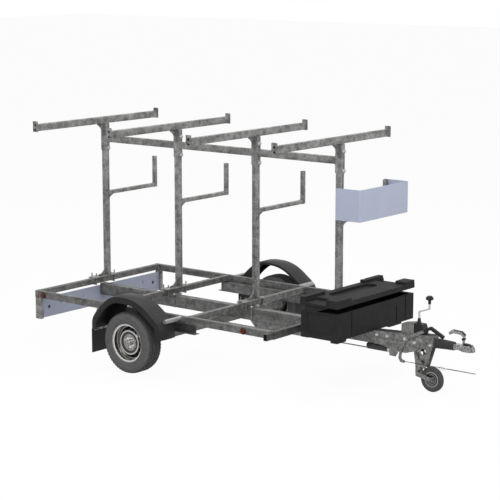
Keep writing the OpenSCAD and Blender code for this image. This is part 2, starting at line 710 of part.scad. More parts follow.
// Pierced side plates that straddle the wheel and fold back into the housing, with a web and the pivot
module jockey_leg() {
  y = leg_w / 2;
  z = strip_z;
  color(galv) placed() {
    for (s = [-1, 1]) plate_xz(s * (y - tube_t / 2) - tube_t / 2, s * (y - tube_t / 2) + tube_t / 2) difference() {
      polygon(concat([[strip_x - 18, z]], soft([[strip_x - 18, z + 4], [leg_x - 133, leg_z - 74],
        [leg_x - 40, leg_z + 22], [leg_x + 30, leg_z + 22], [leg_x + 68, leg_z - 14], [leg_x + 10, z + 18],
        [leg_x - 8, z - 30], [leg_x - 24, z - 22], [strip_x + 20, z]], 8, 4), [[strip_x + 18, z]]));
      translate([leg_x - 33, leg_z - 77]) circle(d = 56);
      translate([leg_x - 33, z + 39]) circle(d = 40);
      polygon([[leg_x - 107, leg_z - 98], [leg_x - 75, leg_z - 93], [leg_x - 71, leg_z - 158],
        [leg_x - 89, leg_z - 134]]);
    }
    plate_xz(-y + tube_t - e, y - tube_t + e) polygon(strap([[leg_x - 122, leg_z - 84], [strip_x - 11, z + 14]], 8, 2, 1));
    rod_y(-house_w / 2 - 8, house_w / 2 + 8, leg_x, leg_z, 20);
  }
}

// Fork under the leg: two cranked arms with the wheel's axle
module jockey_fork() {
  y = leg_w / 2;
  r = jockey_d / 2;
  z = strip_z;
  color(galv) placed() {
    for (s = [-1, 1]) plate_xz(s * (y - tube_t / 2) - tube_t / 2, s * (y - tube_t / 2) + tube_t / 2)
      polygon(concat([[strip_x - 18, z]], soft([[strip_x - 18, z - 4], [strip_x - 14, r + 14], [hub_x + 2, r - 18],
        [hub_x + 18, r], [hub_x + 4, r + 18], [strip_x + 24, r + 52], [strip_x + 18, z - 4]], 7, 4),
        [[strip_x + 18, z]]));
    rod_y(-y - 6, y + 6, hub_x, r, 16);
  }
}

module jockey_tyre() {
  r = jockey_d / 2;
  w = jockey_w / 2;
  b = r * 0.63;
  color(rubber) placed() translate([hub_x, 0, r]) rotate([90, 0, 0]) rotate_extrude($fn = 64)
    polygon(soft([[b, 0], [b, w - 4], [r * 0.8, w], [r - 6, w - 5], [r, w - 14], [r, 14 - w], [r - 6, 5 - w],
      [r * 0.8, -w], [b, 4 - w], [b, -e]], 4, 3));
}

module jockey_rim() {
  r = jockey_d / 2;
  w = jockey_w / 2;
  b = r * 0.63;
  color(silver) placed() translate([hub_x, 0, r]) rotate([90, 0, 0]) rotate_extrude($fn = 64)
    polygon([[8 + pin_gap, -w - 2], [18, -w - 2], [20, -w + 14], [b - 10, 10 - w], [b - 8, 5 - w], [b - fit, 5 - w],
      [b - fit, w - 5], [b - 8, w - 5], [b - 10, w - 10], [20, w - 14], [18, w + 2], [8 + pin_gap, w + 2]]);
}

// Tyre section with round shoulders
module tyre() {
  r = wheel_r;
  w = tyre_w / 2;
  b = rim_d / 2 - 10;
  color(rubber) rotate_extrude($fn = 64)
    polygon(soft([[b, 0], [b, w - 22], [b + 30, w - 4], [b + 62, w], [r - 14, w - 10], [r, w - 34], [r, 34 - w],
      [r - 14, 10 - w], [b + 62, -w], [b + 30, 4 - w], [b, 22 - w], [b, -e]], 6, 3));
}

// Pressed steel wheel: barrel, dished disc with vents
module rim() {
  r = rim_d / 2;
  w = tyre_w / 2 - 22;
  d = cap_d / 2 + 1;
  color(silver) difference() {
    rotate_extrude($fn = 64) polygon(concat([[r - 16, 16], [r - 16, w + 5], [r, w + 13], [r, w + 6.6],
      [r - 10, w + 0.3], [r - 10, -w - 0.3], [r, -w - 6.6], [r, -w - 13], [r - 16, -w - 5], [r - 16, 10]],
      soft([[r - 16, 10], [r * 0.8, 10], [r * 0.62, 44], [r * 0.42, 30], [d, 30]], 12, 4),
      soft([[d, 38], [r * 0.41, 38], [r * 0.62, 53], [r * 0.82, 18], [r - 16, 16]], 12, 4)));
    for (i = [0:vents - 1]) rotate([0, 0, i * 360 / vents]) translate([r * 0.72, 0, -40])
      cylinder(d = r * 0.14, h = 120);
  }
}

// Brake drum with hub and cap, turning on the stub axle
module drum() {
  z = axle_end + tube_w + plate_t + swing_gap - wheel_y;
  color(galv) difference() {
    union() {
      translate([0, 0, z]) cylinder(d = drum_d, h = -stub_d - z);
      translate([0, 0, -stub_d - 1]) cylinder(d = hub_d, h = stub_d + 31);
      translate([0, 0, 29]) cylinder(d = cap_d, h = 38);
      translate([0, 0, 66]) cylinder(d1 = cap_d, d2 = cap_d * 0.8, h = 8);
    }
    translate([0, 0, z - 1]) cylinder(d = stub_d + 2 * pin_gap, h = 2 - stub_d - z + swing_gap);
    translate([0, 0, z - 1]) cylinder(d = drum_d * 0.86, h = 11);
  }
}

module tyre_right() { at_wheel(-1) tyre(); }
module rim_right() { at_wheel(-1) rim(); }
module drum_right() { at_wheel(-1) drum(); }
module tyre_left() { at_wheel(1) tyre(); }
module rim_left() { at_wheel(1) rim(); }
module drum_left() { at_wheel(1) drum(); }

// Stiff cable from the bell crank's foot to the front
module breakaway_cable() {
  color(black) placed() rod_x(foot_x, cable_end, cable_y, foot_z, cable_d);
}

side_rails();
cross_members();
front_cross();
centre_beam();
drawbar();
axle_rails();
axle_beam();
swing_arms();
posts();
foot_bolts();
head_sleeves();
cross_bars();
end_plates();
top_beam();
side_arms();
arm_uprights();
front_stop();
light_board();
board_legs();
rear_lamps();
marker_lamps();
mudguards();
mud_flaps();
flap_strips();
guard_stays();
box_tub();
box_lid();
overrun_housing();
bellows();
coupling_head();
coupling_handle();
brake_lever();
lever_grip();
spring_cylinder();
brake_rod();
spindle_box();
spindle_block();
crank();
crank_knob();
jockey_leg();
jockey_fork();
jockey_tyre();
jockey_rim();
tyre_right();
rim_right();
drum_right();
tyre_left();
rim_left();
drum_left();
breakaway_cable();
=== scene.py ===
"""Looks of a scaffold transport trailer: finishes, fasteners, welds, tread and small fittings."""

import logging
import math
from dataclasses import dataclass
from enum import Enum

import bmesh
import bpy
from mathutils import Matrix, Vector


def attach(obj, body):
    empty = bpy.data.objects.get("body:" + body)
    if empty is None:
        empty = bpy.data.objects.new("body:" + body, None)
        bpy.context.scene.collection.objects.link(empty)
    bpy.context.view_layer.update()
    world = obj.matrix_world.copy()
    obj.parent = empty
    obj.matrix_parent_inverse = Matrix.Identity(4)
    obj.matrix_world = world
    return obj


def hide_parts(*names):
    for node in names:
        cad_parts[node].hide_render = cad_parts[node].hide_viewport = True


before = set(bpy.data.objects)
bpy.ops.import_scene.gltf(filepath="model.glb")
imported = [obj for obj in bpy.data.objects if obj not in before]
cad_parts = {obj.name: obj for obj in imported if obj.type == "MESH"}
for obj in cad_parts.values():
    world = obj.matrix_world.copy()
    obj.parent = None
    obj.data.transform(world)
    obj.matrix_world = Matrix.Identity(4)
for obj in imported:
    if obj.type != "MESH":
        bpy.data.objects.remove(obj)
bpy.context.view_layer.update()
LOG = logging.getLogger("trailer")
Point = tuple[float, float, float]
Grey = tuple[float, float, float]
Profile = tuple[tuple[float, float], ...]

# Metres in the row frame: the axle along and up, half the track, and the jockey wheel's axle
AXLE = -0.7535
AXLE_HEIGHT = 0.292
HALF_TRACK = 1.13
JOCKEY_AXLE: Point = (2.59445 + AXLE, 0, 0.115)
# Millimetres: the posts along from the axle, their line across and the top of their feet
POSTS = (-1470, -485, 500, 1485)
POST_LINE = 104
FOOT_TOP = 570
# Corners of a square in order, a full turn, and turns that lay Z across or ahead
SQUARE = ((-1, -1), (1, -1), (1, 1), (-1, 1))
FULL_TURN = 6.2832
ACROSS = Matrix.Rotation(math.pi / 2, 4, "X")
AHEAD = Matrix.Rotation(math.pi / 2, 4, "Y")


class Slot(Enum):
    """Names of the material slots in the part's record."""
    GALVANISED = "galvanised"
    BLACK_PLASTIC = "black_plastic"
    RUBBER = "rubber"
    TYRE = "tyre"
    SILVER = "silver"
    AMBER = "amber"
    RED_LENS = "red_lens"
    CABLE = "cable"


class Body(Enum):
    """Moving bodies that the pieces ride on."""
    CHASSIS = "chassis"
    WHEEL_RIGHT = "wheel_right"
    WHEEL_LEFT = "wheel_left"
    LEG = "jockey_leg"


def at(x: float, y: float, z: float) -> Vector:
    """Point in metres from millimetres, with X counted from the axle."""
    return Vector((x / 1000 + AXLE, y / 1000, z / 1000))


def wheel_place(side: int) -> Matrix:
    """Frame of a road wheel, with Z outward along its axle."""
    centre = Matrix.Translation((AXLE, side * HALF_TRACK, AXLE_HEIGHT))
    return centre @ Matrix.Rotation(-side * math.pi / 2, 4, "X")


class Nodes:
    """Base of the builders that add nodes to a tree."""
    tree: bpy.types.NodeTree

    def node(self, kind: str, inputs: dict | None = None, **props: object) -> bpy.types.Node:
        """Adds a node.

        Args:
            kind: type name of the node.
            inputs: values or sockets by input name or number.
            **props: attributes set on the node.

        Returns:
            The new node.
        """
        made = self.tree.nodes.new(kind)
        for key, value in props.items():
            setattr(made, key, value)
        for key, value in (inputs or {}).items():
            if isinstance(value, bpy.types.NodeSocket):
                self.tree.links.new(value, made.inputs[key])
            else:
                made.inputs[key].default_value = value
        return made


class Shader(Nodes):
    """Builder of one node material that reads Object coordinates."""

    def __init__(self, name: str) -> None:
        """Starts a material with a Principled shader."""
        self.mat = bpy.data.materials.new(name)
        self.mat.use_nodes = True
        self.tree = self.mat.node_tree
        self.bsdf = self.tree.nodes["Principled BSDF"]
        self.place = self.node("ShaderNodeTexCoord").outputs["Object"]
        self.edge: bpy.types.NodeSocket | None = None

    def moved(self, shift: Point = (0, 0, 0), scale: Point = (1, 1, 1)) -> bpy.types.NodeSocket:
        """Object coordinates, shifted and scaled."""
        inputs = {"Vector": self.place, "Location": shift, "Scale": scale}
        return self.node("ShaderNodeMapping", inputs).outputs[0]

    def noise(self, scale: float, detail: float = 3, rough: float = 0.55,
              where: object = None) -> bpy.types.NodeSocket:
        """Noise with so many waves to the metre."""
        inputs = {"Vector": where or self.place, "Scale": scale, "Detail": detail, "Roughness": rough}
        return self.node("ShaderNodeTexNoise", inputs).outputs["Fac"]

    def cells(self, scale: float) -> bpy.types.NodeSocket:
        """Random grey of crystal-like cells."""
        made = self.node("ShaderNodeTexVoronoi", {"Vector": self.place, "Scale": scale})
        return self.node("ShaderNodeSeparateColor", {0: made.outputs["Color"]}).outputs[0]

    def radius(self, centre: Point) -> bpy.types.NodeSocket:
        """Distance from a wheel's axis, which runs along Y."""
        from_axis = self.moved(tuple(-c for c in centre))
        flat = self.node("ShaderNodeVectorMath", {0: from_axis, 1: (1, 0, 1)}, operation="MULTIPLY")
        return self.node("ShaderNodeVectorMath", {0: flat.outputs[0]}, operation="LENGTH").outputs["Value"]

    def maths(self, how: str, a: object, b: object = 0.0) -> bpy.types.NodeSocket:
        """One sum of two numbers."""
        return self.node("ShaderNodeMath", {0: a, 1: b}, operation=how).outputs[0]

    def ramp(self, fac: bpy.types.NodeSocket, *stops: tuple[float, Grey]) -> bpy.types.NodeSocket:
        """Colour by a number.

        Args:
            fac: the number.
            *stops: places with their colours, in order.

        Returns:
            The colour's socket.
        """
        made = self.node("ShaderNodeValToRGB", {"Fac": fac})
        band = made.color_ramp
        for i, (where, tint) in enumerate(stops):
            stop = band.elements[i] if i < 2 else band.elements.new(where)
            stop.position, stop.color = where, (*tint, 1)
        return made.outputs[0]

    def span(self, fac: object, low: float, high: float) -> bpy.types.NodeSocket:
        """Number from 0..1 mapped to a range."""
        return self.node("ShaderNodeMapRange", {0: fac, 3: low, 4: high}).outputs[0]

    def soften(self, radius: float) -> None:
        """Shades edges as if rounded by so many metres; bump comes after it."""
        self.edge = self.node("ShaderNodeBevel", {"Radius": radius}, samples=4).outputs[0]

    def bump(self, height: bpy.types.NodeSocket, depth: float, strength: float = 1.0) -> None:
        """Bends the normal by a height map of so many metres."""
        made = self.node("ShaderNodeBump", {"Height": height, "Distance": depth, "Strength": strength})
        if self.edge:
            self.tree.links.new(self.edge, made.inputs["Normal"])
        self.tree.links.new(made.outputs[0], self.bsdf.inputs["Normal"])

    def done(self, colour: object, rough: object, metal: float = 0.0, **extra: object) -> bpy.types.Material:
        """Sets the shader's sockets and gives the material.

        Args:
            colour: base colour or its socket.
            rough: roughness or its socket.
            metal: metallic share.
            **extra: other sockets, spaces written as underscores.

        Returns:
            The material.
        """
        values = {"Base Color": colour, "Roughness": rough, "Metallic": metal}
        values.update({k.replace("_", " "): v for k, v in extra.items()})
        for key, value in values.items():
            if isinstance(value, bpy.types.NodeSocket):
                self.tree.links.new(value, self.bsdf.inputs[key])
            else:
                self.bsdf.inputs[key].default_value = (*value, 1) if isinstance(value, tuple) else value
        return self.mat


@dataclass(frozen=True)
class Galvanised:
    """Hot-dip zinc: cloudy patches, long runs and crystal spangle."""
    name: str
    dark: float = 0.13
    light: float = 0.40
    cloud: float = 16
    spangle: float = 95
    metal: float = 0.45
    rough: float = 0.5
    runs: Point = (0.25, 1, 1)

    def material(self) -> bpy.types.Material:
        """Builds the finish."""
        s = Shader(self.name)
        s.soften(0.002)
        patch = s.noise(self.cloud, 4, 0.6)
        runs = s.noise(self.cloud, 3, 0.5, s.moved((0.3, 0.1, 0.7), self.runs))
        fine = s.noise(self.cloud * 6, 3, 0.6)
        grain = s.cells(self.spangle)
        mixed = s.maths("ADD", s.maths("MULTIPLY", patch, 0.42), s.maths("MULTIPLY", runs, 0.30))
        mixed = s.maths("ADD", mixed, s.maths("MULTIPLY", fine, 0.16))
        mixed = s.maths("ADD", mixed, s.maths("MULTIPLY", grain, 0.12))
        d, m, h = self.dark, (self.dark + self.light) / 2, self.light
        low, middle, high = (d, d * 0.99, d * 0.965), (m, m * 0.995, m * 0.975), (h, h, h * 0.985)
        tint = s.ramp(mixed, (0.38, low), (0.62, high), (0.50, middle))
        s.bump(s.maths("ADD", fine, s.maths("MULTIPLY", grain, 0.3)), 0.0005, 0.45)
        return s.done(tint, s.span(patch, self.rough + 0.13, self.rough - 0.1), self.metal)


@dataclass(frozen=True)
class BrightZinc:
    """Plated fasteners and stays, lighter than the frame."""
    name: str
    tint: Grey = (0.63, 0.63, 0.615)

    def material(self) -> bpy.types.Material:
        """Builds the finish."""
        s = Shader(self.name)
        stain = s.noise(60, 4, 0.6)
        low = tuple(c * 0.6 for c in self.tint)
        s.bump(s.noise(400, 2), 0.0003, 0.4)
        return s.done(s.ramp(stain, (0.35, low), (0.65, self.tint)), s.span(stain, 0.5, 0.28), 0.7)


@dataclass(frozen=True)
class Paint:
    """Smooth satin paint with faint clouds and orange peel."""
    name: str
    tint: Grey

    def material(self) -> bpy.types.Material:
        """Builds the finish."""
        s = Shader(self.name)
        cloud = s.noise(5, 4, 0.6)
        low = tuple(c * 0.93 for c in self.tint)
        s.bump(s.noise(260, 2), 0.0004, 0.25)
        tint = s.ramp(cloud, (0.3, low), (0.7, self.tint))
        return s.done(tint, s.span(s.noise(40), 0.36, 0.48), 0.0, Coat_Weight=0.15, Coat_Roughness=0.3)


@dataclass(frozen=True)
class Moulded:
    """Moulded plastic or rubber: fine grain and dull scuffs."""
    name: str
    tint: Grey
    rough: float = 0.5
    grain: float = 700
    depth: float = 0.0004
    shine: float = 0.25
    edge: float = 0.003

    def material(self) -> bpy.types.Material:
        """Builds the finish."""
        s = Shader(self.name)
        s.soften(self.edge)
        scuff = s.noise(9, 5, 0.7)
        pale = tuple(c * 1.4 + 0.002 for c in self.tint)
        s.bump(s.noise(self.grain, 2, 0.7), self.depth, 0.5)
        tint = s.ramp(scuff, (0.35, self.tint), (0.75, pale))
        rough = s.span(scuff, self.rough - 0.07, self.rough + 0.12)
        return s.done(tint, rough, 0.0, Specular_IOR_Level=self.shine)


@dataclass(frozen=True)
class TyreRubber:
    """Tyre: fine rings counted from the wheel's centre, and pale dust."""
    name: str
    centre: Point
    tint: Grey = (0.052, 0.052, 0.052)
    ring_waves: float = 1250.0

    def material(self) -> bpy.types.Material:
        """Builds the finish."""
        s = Shader(self.name)
        rings = s.maths("SINE", s.maths("MULTIPLY", s.radius(self.centre), self.ring_waves))
        dust = s.noise(28, 4, 0.65)
        pale = tuple(c * 1.7 + 0.004 for c in self.tint)
        s.bump(s.maths("ADD", s.maths("MULTIPLY", rings, 0.35), s.noise(500, 2)), 0.0006, 0.5)
        return s.done(s.ramp(dust, (0.35, self.tint), (0.8, pale)), s.span(dust, 0.62, 0.85))


@dataclass(frozen=True)
class WheelLacquer:
    """Bright wheel lacquer in rings of painted highlight and painted shade, dark in the folds between its
    rings.

    A ring's columns are its share of the reach and its share of the brightness.
    """
    name: str
    centre: Point
    reach: float
    bright: float = 0.8
    rough: float = 0.12
    metal: float = 0.95
    warmth: Grey = (1.0, 0.975, 0.945)
    # Painted highlight and painted shade: bright rings stand for light on the flange and crests, dark rings
    # for shade in the folds and the dish.
    rings: Profile = ((0.0, 0.7), (0.30, 0.7), (0.335, 0.05), (0.40, 0.4), (0.46, 0.05), (0.55, 0.05),
                      (0.585, 0.6), (0.625, 0.6), (0.65, 0.12), (0.70, 0.04), (0.77, 0.08), (0.80, 0.04),
                      (0.825, 0.6), (0.855, 0.7), (0.875, 0.04), (0.90, 0.06), (0.92, 0.8), (0.955, 0.9),
                      (0.97, 0.05), (1.0, 1.0))

    def material(self) -> bpy.types.Material:
        """Builds the finish from the rings of painted highlight and shade, blurred a little by dust."""
        s = Shader(self.name)
        s.soften(0.002)
        dust = s.noise(90, 3, 0.6)
        place = s.maths("DIVIDE", s.radius(self.centre), self.reach)
        place = s.maths("ADD", place, s.maths("MULTIPLY", s.maths("SUBTRACT", dust, 0.5), 0.006))
        stops = [(f, tuple(k * self.bright * c for c in self.warmth)) for f, k in self.rings]
        tint = s.ramp(place, *stops)
        s.bump(dust, 0.0004, 0.3)
        return s.done(tint, s.span(dust, self.rough + 0.1, self.rough), self.metal)


@dataclass(frozen=True)
class Lens:
    """Lamp lens with fine vertical flutes under a clear skin, its colour darker in the flutes' troughs as
    painted shade.
    """
    name: str
    tint: Grey
    pitch: float = 900
    coat: float = 0.25
    shine: float = 0.5

    def material(self) -> bpy.types.Material:
        """Builds the finish."""
        s = Shader(self.name)
        apart = s.node("ShaderNodeSeparateXYZ", {0: s.place})
        along = s.maths("ADD", apart.outputs[0], apart.outputs[1])
        flute = s.maths("SINE", s.maths("MULTIPLY", along, self.pitch))
        # Painted shade: the colour darkens with the flutes' bump, in their troughs.
        low = tuple(c * 0.55 for c in self.tint)
        s.bump(flute, 0.0008, 0.6)
        tint = s.ramp(s.span(flute, 0.3, 0.7), (0.2, low), (0.8, self.tint))
        return s.done(tint, 0.16, 0.0, Coat_Weight=self.coat, Coat_Roughness=0.06,
                      Specular_IOR_Level=self.shine)


class Finish(Enum):
    """All finishes of the trailer."""
    # One galvanised zinc in lit and shaded copies: FRAME and DRAWBAR are darkened as painted shade for the
    # low frame and tow gear, and RACK, UPRIGHT and BAR are the lighter lit copies for the upper rack.
    FRAME = Galvanised("galvanised_frame", 0.053, 0.18)
    # Painted shade: the darkest copy, for the front cross and swing arms under the box and frame.
    SHADED = Galvanised("galvanised_in_shade", 0.02, 0.072)
    RACK = Galvanised("galvanised_rack", 0.072, 0.275)
    UPRIGHT = Galvanised("galvanised_upright", 0.069, 0.30, runs=(1.3, 1.3, 0.12))
    BAR = Galvanised("galvanised_bar", 0.072, 0.305, runs=(1, 0.2, 1))
    DRAWBAR = Galvanised("galvanised_drawbar", 0.067, 0.24, 34, 130)
    CAST = Galvanised("bright_casting", 0.001, 0.5, 75, 160, 1.0, 0.2)
    ZINC = BrightZinc("bright_zinc")
    STAY = BrightZinc("plated_stay", (0.37, 0.37, 0.365))
    BOARD = Paint("blue_grey_paint", (0.343, 0.378, 0.482))
    # Painted shade: the same blue-grey paint, darkened for the light board at the rear.
    BOARD_IN_SHADE = Paint("blue_grey_paint_in_shade", (0.233, 0.255, 0.331))
    BOX = Moulded("box_plastic", (0.017, 0.017, 0.017), 0.6, shine=0.06, edge=0.006)
    BELLOWS = Moulded("bellows_rubber", (0.028, 0.028, 0.028), 0.55, 500)
    GUARD = Moulded("guard_plastic", (0.009, 0.009, 0.009), 0.45, shine=0.2, edge=0.006)
    GRIP = Moulded("grip_plastic", (0.005, 0.005, 0.0052), 0.42, 900)
    RUBBER = Moulded("black_rubber", (0.0145, 0.0145, 0.0145), 0.6, 500)
    CABLE = Moulded("cable_sheath", (0.02, 0.02, 0.021), 0.4, 1200, 0.0002)
    # Both rims take the rings of painted highlight and shade.
    WHEEL = WheelLacquer("wheel_lacquer", (AXLE, 0, AXLE_HEIGHT), 0.1825)
    JOCKEY_RIM = WheelLacquer("jockey_lacquer", JOCKEY_AXLE, 0.0725, 0.48, 0.24)
    DRUM = Galvanised("cast_drum", 0.14, 0.42, 70, 220, 0.7, 0.4)
    AMBER = Lens("amber_lens", (0.117, 0.0195, 0.0015), coat=0.02, shine=0.12)
    RED = Lens("red_lens", (0.40, 0.012, 0.01))
    CLEAR = Lens("clear_lens", (0.62, 0.62, 0.60))
    TYRE_RIGHT = TyreRubber("tyre_rubber_right", (AXLE, -HALF_TRACK, AXLE_HEIGHT))
    TYRE_LEFT = TyreRubber("tyre_rubber_left", (AXLE, HALF_TRACK, AXLE_HEIGHT))
    TREAD = Moulded("tread_rubber", (0.042, 0.042, 0.0425), 0.75, 400)
    TYRE_JOCKEY = TyreRubber("tyre_rubber_jockey", JOCKEY_AXLE, (0.026, 0.026, 0.026))


class Stock:
    """Keeps one material for each finish."""
    made: dict[Finish, bpy.types.Material] = {}

    @classmethod
    def of(cls, finish: Finish) -> bpy.types.Material:
        """Material of a finish, built once."""
        if finish not in cls.made:
            cls.made[finish] = finish.value.material()
        return cls.made[finish]


def add_piece(name: str, mesh: bpy.types.Mesh, body: Body, finish: Finish | None,
              stands_for: tuple[str, ...] = (), smooth: float | None = 35) -> bpy.types.Object:
    """Links a mesh as a piece of the trailer.

    Args:
        name: the piece's name.
        mesh: its mesh in the row frame.
        body: the body it rides on.
        finish: its finish, or None where the mesh has its materials.
        stands_for: CAD nodes that it replaces.
        smooth: edges flatter than this many degrees are shaded smooth.

    Returns:
        The piece.
    """
    mesh.name = name
    made = bpy.data.objects.new(name, mesh)
    bpy.context.scene.collection.objects.link(made)
    if finish:
        mesh.materials.clear()
        mesh.materials.append(Stock.of(finish))
    if smooth is not None and mesh.polygons:
        mesh.shade_smooth()
        mesh.set_sharp_from_angle(angle=math.radians(smooth))
    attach(made, body.value)
    if stands_for:
        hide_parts(*stands_for)
    LOG.info("%s rides on %s, %d faces", name, body.value, len(mesh.polygons))
    return made


def closed(bm: bmesh.types.BMesh, name: str) -> bpy.types.Mesh:
    """Mesh of a closed shape with its doubles merged and its faces outward."""
    bmesh.ops.remove_doubles(bm, verts=bm.verts, dist=1e-6)
    bmesh.ops.recalc_face_normals(bm, faces=bm.faces)
    mesh = bpy.data.meshes.new(name)
    bm.to_mesh(mesh)
    bm.free()
    return mesh


def lathe(bm: bmesh.types.BMesh, profile: Profile, place: Matrix, steps: int) -> None:
    """Turns a closed profile of radius and height about the Z axis of place.

    Args:
        bm: the mesh that gets the faces.
        profile: corners as radius and height, in order.
        place: where the axis stands.
        steps: faces round the axis.
    """
    rings = []
    for r, h in profile:
        if r < 1e-6:
            rings.append([bm.verts.new(place @ Vector((0, 0, h)))])
            continue
        rings.append([bm.verts.new(place @ Vector((r * math.cos(a), r * math.sin(a), h)))
                      for a in (2 * math.pi * k / steps for k in range(steps))])
    for one, two in zip(rings, rings[1:] + rings[:1]):
        for k in range(steps):
            j = (k + 1) % steps
            corners = [one[k % len(one)], one[j % len(one)], two[j % len(two)], two[k % len(two)]]
            corners = [c for i, c in enumerate(corners) if c not in corners[:i]]
            if len(corners) > 2:
                bm.faces.new(corners)


def sweep(bm: bmesh.types.BMesh, path: list[Vector], radius: float, sides: int) -> None:
    """Round bar along a path, closed at both ends.

    Args:
        bm: the mesh that gets the faces.
        path: points of the middle line.
        radius: the bar's radius.
        sides: faces round it.
    """
    rings, across = [], None
    for i, p in enumerate(path):
        ahead = (path[min(i + 1, len(path) - 1)] - path[max(i - 1, 0)]).normalized()
        if across is None:
            across = ahead.orthogonal().normalized()
        across = (across - ahead * across.dot(ahead)).normalized()
        up = ahead.cross(across)
        rings.append([bm.verts.new(p + radius * (across * math.cos(a) + up * math.sin(a)))
                      for a in (2 * math.pi * k / sides for k in range(sides))])
    for one, two in zip(rings, rings[1:]):
        for k in range(sides):
            j = (k + 1) % sides
            bm.faces.new((one[k], one[j], two[j], two[k]))
    bm.faces.new(rings[0][::-1])
    bm.faces.new(rings[-1])


def rounded_path(corners: list[Vector], radius: float, steps: int) -> list[Vector]:
    """Path with its inner corners bent in an arc-like curve.

    Args:
        corners: corner points.
        radius: how far from a corner the bend starts.
        steps: points in a bend.

    Returns:
        The points of the bent path.
    """
    made = [corners[0]]
    for a, b, c in zip(corners, corners[1:], corners[2:]):
        k = min(radius, (a - b).length * 0.49, (c - b).length * 0.49)
        s, e = b + (a - b).normalized() * k, b + (c - b).normalized() * k
        shares = [i / steps for i in range(steps + 1)]
        made += [(1 - t) ** 2 * s + 2 * t * (1 - t) * b + t * t * e for t in shares]
    return made + [corners[-1]]


def slab(bm: bmesh.types.BMesh, outline: list[Vector], depth: Vector) -> None:
    """Plate of any outline.

    Args:
        bm: the mesh that gets the faces.
        outline: corners in order.
        depth: from the first face to the second.
    """
    one = [bm.verts.new(p) for p in outline]
    two = [bm.verts.new(p + depth) for p in outline]
    bm.faces.new(one)
    bm.faces.new(two[::-1])
    for k in range(len(one)):
        j = (k + 1) % len(one)
        bm.faces.new((one[k], two[k], two[j], one[j]))


class NodeTree(Nodes):
    """Builder of one Geometry Nodes tree with named inputs."""

    def __init__(self, name: str, **sizes: float) -> None:
        """Starts a tree whose inputs are a geometry and the named sizes."""
        self.tree = bpy.data.node_groups.new(name, "GeometryNodeTree")
        face = self.tree.interface
        face.new_socket("Geometry", in_out="INPUT", socket_type="NodeSocketGeometry")
        self.keys: dict[str, str] = {}
        for key, value in sizes.items():
            kind = "NodeSocketInt" if isinstance(value, int) else "NodeSocketFloat"
            made = face.new_socket(key, in_out="INPUT", socket_type=kind)
            made.default_value = value
            self.keys[key] = made.identifier
        face.new_socket("Geometry", in_out="OUTPUT", socket_type="NodeSocketGeometry")
        self.given = self.tree.nodes.new("NodeGroupInput")
        self.result = self.tree.nodes.new("NodeGroupOutput")

    def size(self, key: str) -> bpy.types.NodeSocket:
        """Socket of a named input."""
        return self.given.outputs[key]

    def out(self, kind: str, inputs: dict | None = None, **props: object) -> bpy.types.NodeSocket:
        """Adds a node and gives its first output."""
        return self.node(kind, inputs, **props).outputs[0]

    def maths(self, how: str, a: object, b: object = 0.0) -> bpy.types.NodeSocket:
        """One sum of two numbers."""
        return self.out("ShaderNodeMath", {0: a, 1: b}, operation=how)

    def vector(self, x: object = 0.0, y: object = 0.0, z: object = 0.0) -> bpy.types.NodeSocket:
        """Vector of three numbers or sockets."""
        return self.out("ShaderNodeCombineXYZ", {0: x, 1: y, 2: z})

    def joined(self, *parts: bpy.types.NodeSocket) -> bpy.types.NodeSocket:
        """Parts joined in one geometry."""
        made = self.node("GeometryNodeJoinGeometry")
        for part in parts:
            self.tree.links.new(part, made.inputs[0])
        return made.outputs[0]

    def disc(self, sides: int, radius: object, depth: object, lift: object) -> bpy.types.NodeSocket:
        """Upright prism whose middle is lifted."""
        made = self.node("GeometryNodeMeshCylinder", {"Vertices": sides, "Radius": radius, "Depth": depth})
        shift = self.vector(0.0, 0.0, lift)
        return self.out("GeometryNodeTransform", {"Geometry": made.outputs[0], "Translation": shift})

    def end(self, geometry: bpy.types.NodeSocket, finish: Finish) -> None:
        """Realizes the instances and sets their material."""
        real = self.out("GeometryNodeRealizeInstances", {0: geometry})
        dressed = self.out("GeometryNodeSetMaterial", {"Geometry": real, "Material": Stock.of(finish)})
        self.tree.links.new(dressed, self.result.inputs[0])

    def run(self, seed_mesh: bpy.types.Mesh, **sizes: float) -> bpy.types.Mesh:
        """Evaluates the tree on a mesh.

        Args:
            seed_mesh: the points or lines that it works on.
            **sizes: values of its named inputs.

        Returns:
            The plain mesh that comes out.
        """
        holder = bpy.data.objects.new("holder", seed_mesh)
        bpy.context.scene.collection.objects.link(holder)
        modifier = holder.modifiers.new("tree", "NODES")
        modifier.node_group = self.tree
        for key, value in sizes.items():
            modifier[self.keys[key]] = value
        graph = bpy.context.evaluated_depsgraph_get()
        made = bpy.data.meshes.new_from_object(holder.evaluated_get(graph))
        bpy.data.objects.remove(holder)
        return made


@dataclass
class PhotoCamera:
    """Camera at the photograph's viewing angle."""
    lens: float = 120.63
    azimuth: float = 38.2266
    elevation: float = 10.2923
    place: Point = (9.5877, -12.4819, 3.9467)
    sensor: float = 36
    clip: tuple[float, float] = (0.1, 200)

    def build(self) -> None:
        """Makes the scene's camera."""
        data = bpy.data.cameras.new("photo_camera")
        data.lens, data.sensor_width = self.lens, self.sensor
        data.clip_start, data.clip_end = self.clip
        made = bpy.data.objects.new("photo_camera", data)
        bpy.context.scene.collection.objects.link(made)
        a, e = math.radians(self.azimuth), math.radians(self.elevation)
        back = Vector((math.sin(a) * math.cos(e), -math.cos(a) * math.cos(e), math.sin(e)))
        made.location = self.place
        made.rotation_euler = (-back).to_track_quat("-Z", "Y").to_euler()
        bpy.context.scene.camera = made


